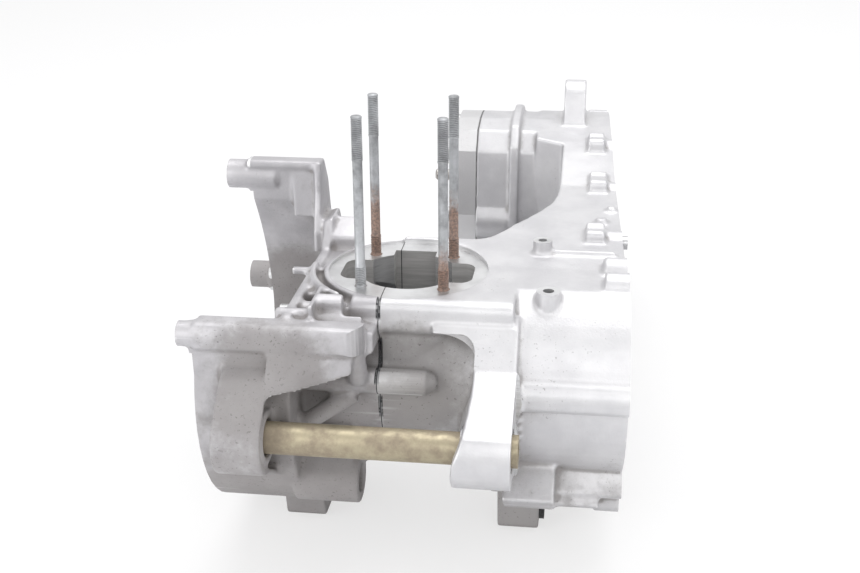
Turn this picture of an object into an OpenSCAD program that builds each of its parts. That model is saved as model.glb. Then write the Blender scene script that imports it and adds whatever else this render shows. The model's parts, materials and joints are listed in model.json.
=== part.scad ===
// Two-stroke scooter crankcase: two die-cast halves, belt case and final-drive housing
// X runs across the engine (+X is the belt side), Y to the rear, Z up.
// The origin is where the crank axis meets the cylinder axis.

/* [Cylinder seat] */
// Height of the machined cylinder seat above the crank axis
deck_z = 54; // [52:0.5:58]
// Diameter of the case mouth that takes the cylinder spigot
mouth_d = 54; // [48:0.5:56]
// Diameter of the machined round land
land_d = 89; // [86:0.5:92]
// Depth of the machined land below the cast top
land_step = 1.8; // [1:0.1:2.5]
// Stud spacing across the engine
stud_dx = 45; // [43:0.5:47]
// Stud spacing front to rear
stud_dy = 50; // [48:0.5:52]
// Thread diameter of the cylinder studs
stud_d = 6; // [5:0.5:7]
// Height of the studs above the seat
stud_rise = 94; // [85:1:110]
// Length of the upper stud thread
stud_thread = 24; // [15:1:30]
// Depth of the stud holes
stud_sink = 15; // [12:0.5:16]

/* [Crank chamber] */
// Radius of the crank chamber
web_r = 43.5; // [42:0.5:44.5]
// Half width of the crank chamber
web_half = 22; // [20:0.5:24]
// Wall round the crank chamber
chamber_wall = 5.5; // [4.5:0.25:7]
// Offset of the parting plane from the cylinder axis
split_x = -9; // [-11:0.5:-7]
// Thickness of the centre gasket
gasket_t = 0.5; // [0.4:0.1:1]
// Bore of the main bearings, which is the crank journal
journal_d = 20; // [17:1:22]
// Outside diameter of the main bearings
bearing_d = 47; // [44:0.5:48]
// Width of the main bearings
bearing_w = 14; // [12:0.5:15]
// Outside diameter of the crank seals
seal_d = 35; // [32:0.5:38]
// Width of the crank seals
seal_w = 7; // [5:0.5:8]

/* [Engine hanger] */
// Distance of the hanger axis in front of the crank axis
hanger_y = 88; // [86:0.5:92]
// Depth of the hanger axis below the crank axis
hanger_drop = 7.2; // [6:0.2:12]
// Outside diameter of the hanger sleeve
sleeve_d = 17; // [15:0.5:18]
// Bore of the hanger sleeve
sleeve_bore = 10; // [8:0.5:11]
// Outside diameter of the hanger bushes
bush_d = 23; // [22:0.5:25]
// Radius of the lug round the hanger axis
lug_r = 20; // [19:0.5:22]

/* [Fan housing] */
// Position of the open rim of the fan housing
rim_x = -103; // [-106:0.5:-100]
// Wall of the fan housing
fan_wall = 4.5; // [3.5:0.25:6]
// Radius of the fan housing at the front
fan_r_front = 77; // [76:0.5:80]
// Radius of the fan housing at the rear
fan_r_rear = 98; // [94:0.5:102]
// Reach of the rear screw stubs beyond the rim
stub_reach = 15; // [10:0.5:16]
// Diameter of the rear screw stubs
stub_d = 17.5; // [15:0.5:18]
// Height of the rear air wall above the crank axis
air_wall_z = 99; // [92:0.5:104]

/* [Belt case] */
// Distance from the crank axis to the clutch axis
clutch_y = 250; // [246:0.5:254]
// Height of the clutch axis above the crank axis
clutch_z = 18; // [14:0.5:20]
// Radius of the rear end of the belt case
belt_rear_r = 66; // [63:0.5:68]
// Radius of the lower front end of the belt case
belt_front_r = 72; // [70:0.5:74]
// Wall of the belt case
belt_wall = 4.5; // [3.5:0.25:6]
// Width position of the cover joint at the crank axis
joint_x = 120.5; // [118:0.5:124]
// Run-in of the cover joint towards the rear, in degrees
joint_tilt = 2.4; // [2:0.1:3]
// Position of the belt case floor beside the crank seal
floor_x = 55; // [53:0.5:57]

/* [Final drive] */
// Distance of the wheel axle behind the clutch axis
axle_back = 22; // [20:0.5:24]
// Depth of the wheel axle below the clutch axis
axle_drop = 36; // [34:0.5:38]
// Radius of the housing round the wheel axle
axle_case_r = 46; // [44:0.5:47]
// Position of the final-drive joint
gear_joint_x = 18; // [16:0.5:20]
// Depth of the final-drive cover
gear_cover_w = 15; // [13:0.5:17]

/* [Feet] */
// Height of the stand lugs' undersides below the crank axis
foot_z = -101; // [-104:0.5:-100]
// Width of a stand lug
foot_w = 24; // [20:0.5:26]
// Bore of the stand lugs
foot_bore = 12; // [10:0.5:13]

/* [Hidden] */
$fn = 64;

seat_gap = 0.05;
top_z = deck_z + land_step;
left_x0 = split_x + gasket_t / 2;
right_x0 = split_x - gasket_t / 2;
barrel_r = web_r + chamber_wall;
bearing_x1 = web_half + bearing_w;
seal_x1 = bearing_x1 + seal_w;
back_x = -52;
duct_x = -57;
tilt = tan(joint_tilt);
axle_y = clutch_y + axle_back;
axle_z = clutch_z - axle_drop;

function joint_at(y) = joint_x - tilt * y;
function arc(y, z, r, a0, a1, n = 12) =
    [for (i = [0:n]) let(a = a0 + (a1 - a0) * i / n) [y + r * cos(a), z + r * sin(a)]];
function curve(a, b, c, n = 8) =
    [for (i = [0:n]) let(t = i / n) (1 - t) * (1 - t) * a + 2 * t * (1 - t) * b + t * t * c];

module across(x0, x1) {
    translate([x0, 0, 0]) rotate([90, 0, 90]) linear_extrude(x1 - x0) children();
}
module rod_x(x0, x1, y, z, r) {
    translate([x0, y, z]) rotate([0, 90, 0]) cylinder(h = x1 - x0, r = r);
}
module tube_x(x0, x1, y, z, ro, ri) {
    difference() {
        rod_x(x0, x1, y, z, ro);
        rod_x(x0 - 1, x1 + 1, y, z, ri);
    }
}
module rod_z(x, y, z0, z1, r) {
    translate([x, y, z0]) cylinder(h = z1 - z0, r = r);
}
module block(x0, x1, y0, y1, z0, z1) {
    translate([x0, y0, z0]) cube([x1 - x0, y1 - y0, z1 - z0]);
}

// Screw positions round the crank chamber, as [y, z]
function around(a) = [(barrel_r + 5) * cos(a), (barrel_r + 5) * sin(a)];
case_screw_at = [around(168), around(223.5), around(270), around(307.5), around(346),
    [land_d / 2 + 4.5, deck_z - 18], [2 - land_d / 2, deck_z - 10.5]];
case_screw_r = 3;
case_boss_r = 7;
case_boss_x1 = 17;
screw_head_r = 5;
screw_head_h = 6;
dowel_on = [1, 5];
dowel_r = 5;
dowel_depth = 6;
deck_front = -land_d / 2 - 5.5;
deck_rear = land_d / 2 + 2.5;
deck_under = deck_z - 18;
land_rim = 2.5;
bar_round = 6;

// Height of the belt case top along its length
top_line = [[-24, top_z], [8, top_z], [clutch_y - 110, top_z + 7.5],
    [clutch_y - 50, clutch_z + belt_rear_r - 7.2]];
function top_at(y) = y <= clutch_y - 50 ? lookup(y, top_line)
    : clutch_z + sqrt(max(0, belt_rear_r * belt_rear_r - (y - clutch_y) * (y - clutch_y)));

// The side shape of the belt case, drawn d inside its outer face
nose_r = 62;
under_nose_r = 58;
function belt_side(d) = concat(
    [for (p = top_line) [p[0] + (p[0] < 0 ? d : 0), p[1] - d]],
    arc(clutch_y, clutch_z, belt_rear_r - d, 96, -96, 28),
    arc(0, 0, belt_front_r - d, 265, 231, 6),
    d > 0 ? arc(0, 0, under_nose_r - d, 231, 122, 14)
          : concat(arc(0, 0, under_nose_r, 229, 178, 8),
                   [[-62.5, 2], [-65, 5], [-65.5, 9], [-64.5, 13], [-62, 17]],
                   arc(0, 0, nose_r, 162, 119, 8)));
// Height of the underside of the belt case along its length
function low_at(y) = lookup(y, [[0, -belt_front_r], [clutch_y - 7, clutch_z - belt_rear_r]]);

// The inner side of the belt case in plan, as [x, y]
wall_x = 79;
plan_wall = concat(curve([34, deck_rear], [44, 50], [53, 70]), curve([53, 70], [68, 92], [74, 107]),
    curve([74, 107], [wall_x, 120], [wall_x, 145]));
floor_wall_x = wall_x + belt_wall;
plan_floor = concat(curve([floor_x, 52], [60, 58], [62, 68]), curve([62, 68], [76, 92], [80, 104]),
    curve([80, 104], [floor_wall_x, 116], [floor_wall_x, 140]));
clutch_floor_x = 66;

module belt_body() {
    intersection() {
        across(left_x0, 150) polygon(belt_side(0));
        union() {
            translate([0, 0, -120]) linear_extrude(260)
                polygon(concat([[floor_x - 5, -90], [floor_x - 5, 30]],
                    [for (p = plan_wall) if (p[1] > 78) p],
                    [[wall_x, clutch_y - 54], [60, clutch_y - 46], [60, clutch_y + 90],
                     [150, clutch_y + 90], [150, -90]]));
            translate([0, 0, deck_under]) linear_extrude(80)
                polygon(concat([[left_x0, -20], [left_x0, deck_rear]], plan_wall,
                               [[120, 150], [120, -20]]));
        }
    }
}
module belt_cavity() {
    intersection() {
        across(floor_x, 160) polygon(belt_side(belt_wall));
        translate([0, 0, -120]) linear_extrude(260)
            polygon(concat([[floor_x, -90]], plan_floor,
                [[floor_wall_x, clutch_y - 54], [clutch_floor_x, clutch_y - 44],
                 [clutch_floor_x, clutch_y + 90], [160, clutch_y + 90], [160, -90]]));
    }
}
// Everything outside the slightly run-in joint face of the belt case
module beyond_joint() {
    translate([joint_x, 0, 0]) rotate([0, 0, joint_tilt]) block(0, 60, -150, 400, -150, 150);
}
bar_side = concat([[-20, deck_under], [-20, top_z]],
    arc(deck_front + bar_round, top_z - bar_round, bar_round, 90, 180, 5),
    arc(deck_front + bar_round, deck_under + bar_round, bar_round, 180, 270, 5));
module deck_bar(x0, x1) { across(x0, x1) polygon(bar_side); }
// Lip under the front of the belt case, deeper beside the stand lug
lip_r = 80;
module bottom_lip() {
    across(58, 86)
        polygon(concat(arc(0, 0, lip_r, 262, 222, 8), arc(0, 0, under_nose_r, 222, 262, 8)));
    across(85, 110)
        polygon(concat(arc(0, 0, lip_r - 2, 256, 232, 5), arc(0, 0, belt_front_r - 6, 232, 256, 5)));
}
// Crank chamber, bearing seats and seal seats, bored through both halves
module crank_bores() {
    rod_x(-web_half, web_half, 0, 0, web_r);
    rod_x(-bearing_x1, bearing_x1, 0, 0, bearing_d / 2);
    rod_x(-seal_x1, seal_x1, 0, 0, seal_d / 2);
    rod_x(-seal_x1 - 40, seal_x1 + 40, 0, 0, seal_d / 2 - 1.5);
}
mouth_foot = 28;
// Mouth, transfer pockets, inlet pocket, stud holes and the round land
module seat_cuts() {
    rod_z(0, 0, mouth_foot, deck_z + 20, mouth_d / 2);
    rod_z(0, 0, deck_z, deck_z + 20, land_d / 2);
    translate([0, 0, mouth_foot]) linear_extrude(60)
        polygon(concat(arc(29, 7.5, 7.5, 0, 75, 5), arc(-29.5, 7.5, 7.5, 105, 180, 5),
                       arc(-29.5, -7.5, 7.5, 180, 255, 5), arc(29, -7.5, 7.5, 285, 360, 5)));
    block(-12, 12, 10, 32.5, mouth_foot - 10, deck_z + 20);
    for (x = [-1, 1], y = [-1, 1])
        rod_z(x * stud_dx / 2, y * stud_dy / 2, deck_z - stud_sink, deck_z + 10, stud_d / 2 + 0.5 + seat_gap);
}
// Reed valve seat at the rear, with its window into the chamber and four screw holes
reed_z = 14;
reed_face_y = 62;
reed_half = [27, 23.5];
reed_window_half = [16, 12];
reed_hole_half = [22, 17];
module reed_seat() {
    block(-reed_half[0], reed_half[0], 30, reed_face_y, reed_z - reed_half[1], reed_z + reed_half[1]);
}
module reed_window() {
    block(-reed_window_half[0], reed_window_half[0], 30, reed_face_y + 5,
          reed_z - reed_window_half[1], reed_z + reed_window_half[1]);
    for (x = [-1, 1], z = [-1, 1])
        translate([x * reed_hole_half[0], reed_face_y + 1, reed_z + z * reed_hole_half[1]])
            rotate([90, 0, 0]) cylinder(h = 10, r = small_bore);
}
// Hanger lug: its side, and its front with a waist and a flare up to the bar
lug_x1 = 65;
module left_lug() {
    intersection() {
        across(20, lug_x1)
            polygon(concat([[deck_front + 8, 48], [deck_front - 2, 44], [-66, 26]],
                arc(-hanger_y, -hanger_drop, lug_r, 140, 285, 14), [[-62, -34], [-40, -40], [-20, 20]]));
        rotate([90, 0, 0]) linear_extrude(130)
            polygon(concat([[lug_x1 + 1, 60], [20, 60]], curve([20, 40], [43, 38], [43, 22]),
                curve([43, 22], [42, 8], [36, -6]), [[35, -14], [35, -45], [lug_x1 + 1, -45]]));
    }
}
// Two of the case screws pass through hollow dowels
module dowel_seats(x0, x1) {
    for (i = dowel_on) rod_x(x0, x1, case_screw_at[i][0], case_screw_at[i][1], dowel_r + seat_gap);
}
module screw_bosses(x0, x1) {
    for (p = case_screw_at) rod_x(x0, x1, p[0], p[1], case_boss_r);
}
stand_z = foot_z + 11;
module foot(x0) {
    difference() {
        across(x0, x0 + foot_w)
            polygon(concat([[-18, -60], [-16, -80]], arc(-9, foot_z + 4, 4, 180, 270, 4),
                           arc(9, foot_z + 4, 4, 270, 360, 4), [[16, -80], [18, -60]]));
        rod_x(x0 - 1, x0 + foot_w + 1, 0, stand_z, foot_bore / 2);
    }
}
bush_seat_left = 39;
bush_seat_right = -66;
left_foot_x = 52.5;
right_foot_x = -74;
stand_bush_bore = 4;

// Outline of the final-drive housing, drawn d inside its outer face
lobe_at = [axle_y - 4, axle_z + 10];
gear_front = clutch_y - belt_rear_r + 19;
function gear_side(d) = concat(
    [[gear_front + 3 + d, clutch_z + belt_rear_r - 18 - d],
     [gear_front + 13 + d, clutch_z + belt_rear_r - 5 - d],
     [clutch_y - 14, clutch_z + belt_rear_r - 1 - d]],
    arc(clutch_y, clutch_z, belt_rear_r - 1 - d, 90, 8, 14),
    arc(lobe_at[0], lobe_at[1], axle_case_r - d, -8, -150, 18),
    [[lobe_at[0] - axle_case_r - 8 + d, axle_z - 2], [gear_front + d, clutch_z + 2]]);
function on_clutch(a) = [clutch_y + (belt_rear_r - 9) * cos(a), clutch_z + (belt_rear_r - 9) * sin(a)];
function on_lobe(a) = lobe_at + (axle_case_r - 4) * [cos(a), sin(a)];
gear_screw_at = [on_clutch(129), on_clutch(86), on_clutch(42), on_clutch(-4), on_lobe(-38), on_lobe(-93),
    on_lobe(-152), [gear_front + 7, clutch_z]];
gear_dowel_on = [1, 5];
gear_case_x = gear_joint_x + gasket_t / 2;
gear_cover_x1 = gear_joint_x - gasket_t / 2;
gear_cover_x0 = gear_joint_x - gear_cover_w;
gear_floor_x = 59;
gear_wall = 6;
gear_boss_r = 6.5;
gear_boss_x1 = 42;
gear_screw_l = 32;
gear_cover_skin = 5;
gear_dowel_r = 4.5;
gear_dowel_bore = 3.4;
gear_dowel_in = 5;
seal_rib_reach = axle_case_r - 15;
nipple_r = 3;
nipple_root_r = 3.4;
nipple_bore = 1.8;
nipple_sunk = 10;
nipple_reach = 10;
small_bore = 3;
small_head_r = 5.5;
small_head_h = 5;
// Shaft positions in the final drive, as [y, z]
clutch_at = [clutch_y, clutch_z];
axle_at = [axle_y, axle_z];
counter_at = [clutch_y + 36, clutch_z + 2];
// Sealed ball bearings of the final drive: outer radius, bore radius and width
clutch_race = [17.5, 7.5, 11];
axle_race_size = [20, 10, 14];
clutch_race_x1 = 58;
clutch_seal_r = 13;
clutch_seal_w = 6;
axle_race_x0 = gear_cover_x0 - 4;
axle_seal_w = 6;
bush_out = 9;
bush_in = 6;
bush_w = 9;
drain_at = [28, axle_y - 22];
drain_face_z = lobe_at[1] - axle_case_r - 8;
drain_r = 4;
breather_at = [32, clutch_z + 24];
breather_y = clutch_y + belt_rear_r - 8;

module gear_housing() {
    across(gear_case_x, 70) polygon(gear_side(0));
    for (p = gear_screw_at) rod_x(gear_case_x, gear_boss_x1 - 2, p[0], p[1], gear_boss_r);
    across(42, 48) polygon(gear_side(-5));
    rod_z(drain_at[0], drain_at[1], drain_face_z, drain_face_z + 22, 9);
    translate([breather_at[0], breather_y - 8, breather_at[1]]) rotate([-90, 0, 0]) cylinder(h = 14, r = 6);
}
module gear_cavity() {
    difference() {
        across(gear_case_x - 1, gear_floor_x) polygon(gear_side(gear_wall));
        for (p = gear_screw_at) rod_x(gear_case_x - 2, gear_boss_x1, p[0], p[1], gear_boss_r);
        rod_x(clutch_race_x1 - clutch_race[2], 70, clutch_at[0], clutch_at[1], clutch_race[0] + 5);
        rod_x(gear_floor_x - bush_w, 70, axle_at[0], axle_at[1], bush_out + 5);
        rod_x(gear_floor_x - bush_w, 70, counter_at[0], counter_at[1], bush_out + 5);
    }
    // Bearing seat open to the gears, then a shoulder, then the seal seat open to the belt case
    rod_x(30, clutch_race_x1, clutch_at[0], clutch_at[1], clutch_race[0]);
    rod_x(clutch_race_x1 - 1, 90, clutch_at[0], clutch_at[1], clutch_seal_r - 1.5);
    rod_x(clutch_floor_x - clutch_seal_w, 90, clutch_at[0], clutch_at[1], clutch_seal_r);
    for (p = [axle_at, counter_at]) rod_x(30, gear_floor_x + 1, p[0], p[1], bush_out);
    for (p = gear_screw_at)
        rod_x(gear_case_x - 1, gear_cover_x0 + gear_screw_l + 2, p[0], p[1], small_bore + seat_gap);
    for (i = gear_dowel_on)
        rod_x(gear_case_x - 1, gear_case_x + gear_dowel_in, gear_screw_at[i][0], gear_screw_at[i][1],
            gear_dowel_r + seat_gap);
    rod_z(drain_at[0], drain_at[1], drain_face_z - 20, drain_face_z + 22, drain_r + seat_gap);
    translate([breather_at[0], breather_y - 18, breather_at[1]]) rotate([-90, 0, 0]) cylinder(h = 16, r = 2);
    translate([breather_at[0], breather_y - 4, breather_at[1]]) rotate([-90, 0, 0])
        cylinder(h = 14, r = nipple_root_r + seat_gap);
}
// Belt cover screw bosses along the rim, as [y, z, length]
function on_rim(a) =
    [clutch_y + (belt_rear_r - 2) * cos(a), clutch_z + (belt_rear_r - 2) * sin(a), 14];
function on_top(y) = [y, top_at(y) - 4, 14];
function on_bottom(y) = [y, low_at(y) + 1, 14];
rim_boss_at = [[-15, top_z - 1, 13], [8, top_z - 1, 13], on_top(58), on_top(clutch_y - 110),
    on_top(clutch_y - 52), on_rim(57), on_rim(-4), on_rim(-58), on_rim(-103),
    on_bottom(clutch_y - 100), on_bottom(66), on_bottom(-22)];
rim_dowel_on = [2, 8];
rim_dowel_in = 6;
rim_dowel_out = 3.5;
rim_dowel_r = 4.5;
rim_dowel_tip_r = 4;
rim_dowel_bore = 3.2;
module rim_bosses() {
    for (p = rim_boss_at) rod_x(joint_at(p[0]) - p[2], joint_at(p[0]) + 5, p[0], p[1], 7);
    for (i = [0, 1])
        rod_x(joint_at(0) - 12, joint_at(0) + 5, rim_boss_at[i][0], rim_boss_at[i][1], 8.5);
}
// Saddle-shaped lugs on top of the belt case, as [x0, x1, y0, y1, height]
saddle_at = [[97, 108, 45, 66, 6.5], [98, 109, clutch_y - 122, clutch_y - 96, 7],
    [96, 107, clutch_y - 66, clutch_y - 44, 7]];
module saddles() {
    for (p = saddle_at)
        let(h = top_at((p[2] + p[3]) / 2) + p[4])
        across(p[0], p[1])
            polygon(concat([[p[2], h - 16], [p[2], h - 6]], arc(p[2] + 4, h - 4, 4, 180, 90, 4),
                [[p[2] + 8, h - 2], [p[3] - 8, h - 2]], arc(p[3] - 4, h - 4, 4, 90, 0, 4), [[p[3], h - 16]]));
    rod_z(106, 78, 50, top_at(78) + 3, 3.5);
    rod_z(112, 98, 50, top_at(98) + 3, 3);
}
shock_at = [clutch_y - 6, clutch_z + belt_rear_r + 13];
module shock_lug() {
    across(78, 93) polygon(concat([[shock_at[0] - 22, shock_at[1] - 27]],
        arc(shock_at[0], shock_at[1], 13, 165, 15, 12), [[shock_at[0] + 22, shock_at[1] - 27]]));
}
cowl_screw_at = [[73, 29], [79, -33]];
module top_bosses() {
    rod_z(cowl_screw_at[0][0], cowl_screw_at[0][1], 48, top_z + 9, 5.5);
    block(73, 114, 27, 29.5, 50, top_z + 4);
    rod_z(cowl_screw_at[1][0], cowl_screw_at[1][1], 30, top_z + 3, 6.5);
}
module left_case() {
    color("#c9c7c9") difference() {
        union() {
            difference() {
                union() {
                    belt_body();
                    bottom_lip();
                    saddles();
                    rod_x(left_x0, floor_x, 0, 0, barrel_r);
                    deck_bar(left_x0, 62);
                    block(left_x0, 50, deck_front + 6, deck_rear, deck_under, deck_z);
                    reed_seat();
                    screw_bosses(left_x0, case_boss_x1);
                    left_lug();
                    foot(left_foot_x);
                    gear_housing();
                    shock_lug();
                    top_bosses();
                }
                belt_cavity();
            }
            rim_bosses();
            rod_x(floor_x - 4, floor_x + 3, 0, 0, seal_d / 2 + 5);
        }
        beyond_joint();
        crank_bores();
        seat_cuts();
        reed_window();
        gear_cavity();
        rod_x(bush_seat_left, 80, -hanger_y, -hanger_drop, bush_d / 2 + seat_gap);
        rod_x(0, 80, -hanger_y, -hanger_drop, bush_d / 2 - 1.5);
        for (p = case_screw_at) rod_x(left_x0 - 1, case_boss_x1 - 4, p[0], p[1], case_screw_r + seat_gap);
        dowel_seats(left_x0 - 1, left_x0 + dowel_depth);
        for (p = rim_boss_at) rod_x(joint_at(p[0]) - 12, joint_at(p[0]) + 6, p[0], p[1], small_bore);
        for (i = rim_dowel_on)
            rod_x(joint_at(rim_boss_at[i][0]) - rim_dowel_in, joint_at(rim_boss_at[i][0]) + 6,
                rim_boss_at[i][0], rim_boss_at[i][1], rim_dowel_r + seat_gap);
        rod_x(77, 94, shock_at[0], shock_at[1], 5);
        rod_z(cowl_screw_at[0][0], cowl_screw_at[0][1], 52, 90, 2.5);
        rod_z(cowl_screw_at[1][0], cowl_screw_at[1][1], 44, 90, 3);
        block(-90, left_x0, -200, 200, -200, 200);
    }
}

function fan_r(a) = fan_r_front + (fan_r_rear - fan_r_front) * pow(max(0, a - 165) / 185, 1.6);
air_wall_foot = [fan_r_rear * cos(350), fan_r_rear * sin(350)];
air_wall_y = 58;
air_wall_x1 = -60;
fan_front_y = 7 - fan_r_front;
function fan_side(d, top) = concat(
    [[fan_front_y + d, top], [fan_front_y - 5 + d, 34]],
    [for (a = [165 : 8 : 350]) [(fan_r(a) - d) * cos(a), (fan_r(a) - d) * sin(a)]],
    curve([air_wall_foot[0] - d, -4], [92 - d, 34], [64 - d, 74]),
    [[air_wall_y - d, air_wall_z + (d > 0 ? 12 : 0)]]);
flange_y0 = -fan_r_front - 1;
flange_y1 = 13 - fan_r_front;
flange_z0 = 35;
flange_z1 = 50;
// Screw stubs as [y, z, radius, reach beyond the rim]
stub_at = [[4.5 - fan_r_front, flange_z1 - 7.5, 6.75, stub_reach - 8],
    [air_wall_y + 6, air_wall_z - 11, stub_d / 2, stub_reach], [fan_r_rear + 2, 9, stub_d / 2, stub_reach],
    [fan_r(283) * cos(283), fan_r(283) * sin(283), 6.75, 0]];

module fan_shell() {
    difference() {
        across(rim_x, back_x) polygon(fan_side(0, flange_z1));
        across(rim_x - 1, duct_x) polygon(fan_side(fan_wall, 130));
        across(duct_x - 1, back_x + 1)
            polygon([[-90, 52], [34, 52], [46, 66], [53, 84], [52, 120], [-90, 120]]);
        translate([air_wall_x1, 0, 64]) rotate([0, -25, 0]) block(0, 30, 20, 120, 0, 80);
    }
}
// Flange round the air wall, and the web that ties it to the cylinder seat
module air_wall_flange() {
    across(rim_x, air_wall_x1) polygon([[55, 95], [66, 95], [66, 99], [55, 99]]);
    across(air_wall_x1 - 4, air_wall_x1)
        polygon([[54, 99], [66, 99], [76, 84], [82, 60], [84, 46], [45, 46], [45, 58], [52, 80]]);
    intersection() {
        across(duct_x, -30) polygon([[40, 36], [40, 58], [56, 66], [70, 50], [70, 36]]);
        translate([0, 0, 30]) linear_extrude(50)
            polygon([[-60, 30], [-30, 30], [-38, 60], [-60, 75]]);
    }
}
// Front apron under the flange, cut along a line that rises to the parting plane
module apron() {
    difference() {
        across(duct_x - 1, -16)
            polygon(concat(arc(0, 0, fan_r_front - 0.5, 139, 170, 6), arc(0, 0, fan_r_front - 6, 170, 139, 6)));
        translate([duct_x - 10, 0, 4]) rotate([0, -33, 0]) block(-10, 90, -120, 0, -60, 0);
    }
}
module front_flange() {
    difference() {
        across(rim_x + 2, -13)
            polygon(concat(arc(flange_y0 + 4, flange_z1 - 4, 4, 90, 180, 4),
                arc(flange_y0 + 3, flange_z0 + 3, 3, 180, 270, 4),
                [[flange_y1, flange_z0], [flange_y1, flange_z1]]));
        translate([-13, 0, flange_z1]) rotate([0, 35, 0]) block(-8, 20, -100, 0, 0, 30);
    }
    block(-53, right_x0, flange_y1 - 1, deck_front + 10, 32, 44);
}
// Ear over the right end of the hanger sleeve, hollow behind its skin with one rib left
ear_x0 = -87;
ear_x1 = -61;
ear_wall = 3;
function ear_side(d) = concat([[4 - fan_r_front, 28 - d], [-hanger_y + 4, 22 - d]],
    arc(-hanger_y, -hanger_drop, lug_r - d, 148, 262, 10),
    [[11 - fan_r_front, -42 + d], [11 - fan_r_front, 28 - d]]);
module right_ear() {
    difference() {
        across(ear_x0, ear_x1) polygon(ear_side(0));
        difference() {
            across(ear_x0 + 5, ear_x1 + 1) polygon(ear_side(ear_wall));
            rod_x(ear_x0, ear_x1, -hanger_y, -hanger_drop, bush_d / 2 + ear_wall);
            block(ear_x0, ear_x1 - 5, -120, -60, 8, 12);
        }
    }
}
module lower_barrel() {
    rod_x(duct_x + 1, -20, -50, -50, 14);
    across(-50, -24) polygon([[-50, -50], [-36, -50], [-28, -30], [-48, -20], [-62, -44]]);
}
module cable_bracket() {
    intersection() {
        difference() {
            rod_z(0, 0, 40, top_z + 1, 54.5);
            rod_z(0, 0, 39, 60, 51.5);
        }
        translate([0, 0, 38]) linear_extrude(30) polygon([[-80, 6], [0, 0], [-50, -68], [-80, -60]]);
    }
    block(-66, -50, -3, 1, 50, 54);
    block(-43, -40.5, -66, -36, 42, 58);
    across(-41, -27) polygon([[-56, 40], [-56, 57], [-52, 59], [-49, 59], [-49, 40]]);
    rod_x(-62, -40, -57, 49, 3.8);
}
module stubs() {
    for (p = stub_at) rod_x(rim_x - p[3], rim_x + 15, p[0], p[1], p[2]);
}
stator_x = -33;
module stator_pocket() {
    difference() {
        rod_x(duct_x - 1, stator_x - 5, 0, 0, web_r);
        rod_x(duct_x - 2, stator_x, 0, 0, seal_d / 2 + 7);
        for (a = [60, 240]) rod_x(duct_x + 3, stator_x, 33 * cos(a), 33 * sin(a), 6);
    }
}
module right_case() {
    color("#c4c1c3") difference() {
        union() {
            difference() {
                union() {
                    fan_shell();
                    rod_x(back_x - 2, right_x0, 0, 0, barrel_r);
                    rod_z(0, 0, deck_under, top_z, land_d / 2 + land_rim);
                    block(back_x - 3, right_x0, -30, deck_rear, deck_under - 4, deck_z - 4);
                    deck_bar(-24, right_x0);
                    reed_seat();
                }
                stator_pocket();
            }
            screw_bosses(duct_x, right_x0);
            air_wall_flange();
            apron();
            front_flange();
            right_ear();
            lower_barrel();
            cable_bracket();
            stubs();
            foot(right_foot_x);
        }
        crank_bores();
        seat_cuts();
        reed_window();
        rod_x(ear_x0 - 5, bush_seat_right, -hanger_y, -hanger_drop, bush_d / 2 + seat_gap);
        rod_x(-80, -40, -hanger_y, -hanger_drop, bush_d / 2 - 1.5);
        rod_x(-44, 0, -50, -50, 8);
        rod_x(rim_x, back_x + 6, 0, stand_z, foot_bore / 2);
        for (p = case_screw_at) {
            rod_x(duct_x - 1, right_x0 + 1, p[0], p[1], case_screw_r + 0.25);
        }
        dowel_seats(right_x0 - dowel_depth, right_x0 + 1);
        for (p = stub_at) rod_x(rim_x - p[3] - 1, rim_x + 10, p[0], p[1], 2.5);
        for (a = [60, 240]) rod_x(duct_x, stator_x - 4, 33 * cos(a), 33 * sin(a), 2.5);
        block(right_x0, 90, -200, 200, -200, 200);
    }
}

// The joint face of the two halves, as seen along the crank axis
module joint_face() {
    difference() {
        intersection() {
            union() {
                circle(r = barrel_r);
                for (p = case_screw_at) translate(p) circle(r = case_boss_r);
                polygon(bar_side);
                translate([-20, deck_under]) square([deck_rear + 20, deck_z - deck_under]);
                translate([30, reed_z - reed_half[1]]) square([reed_face_y - 30, 2 * reed_half[1]]);
            }
            translate([-100, -100]) square([200, 100 + deck_z]);
        }
        circle(r = web_r);
        translate([-mouth_d / 2, mouth_foot]) square([mouth_d, 60]);
        translate([10, mouth_foot - 10]) square([22.5, 60]);
        translate([30, reed_z - reed_window_half[1]]) square([reed_face_y, 2 * reed_window_half[1]]);
        for (p = case_screw_at) translate(p) circle(r = case_screw_r + 0.25);
        for (i = dowel_on) translate(case_screw_at[i]) circle(r = dowel_r + seat_gap);
    }
}
module centre_gasket() {
    color("#222226") across(right_x0, left_x0) joint_face();
}
module centre_dowels() {
    color("#a7a9ac") for (i = dowel_on) tube_x(right_x0 - dowel_depth, left_x0 + dowel_depth,
        case_screw_at[i][0], case_screw_at[i][1], dowel_r, dowel_r - 1.5);
}
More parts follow.
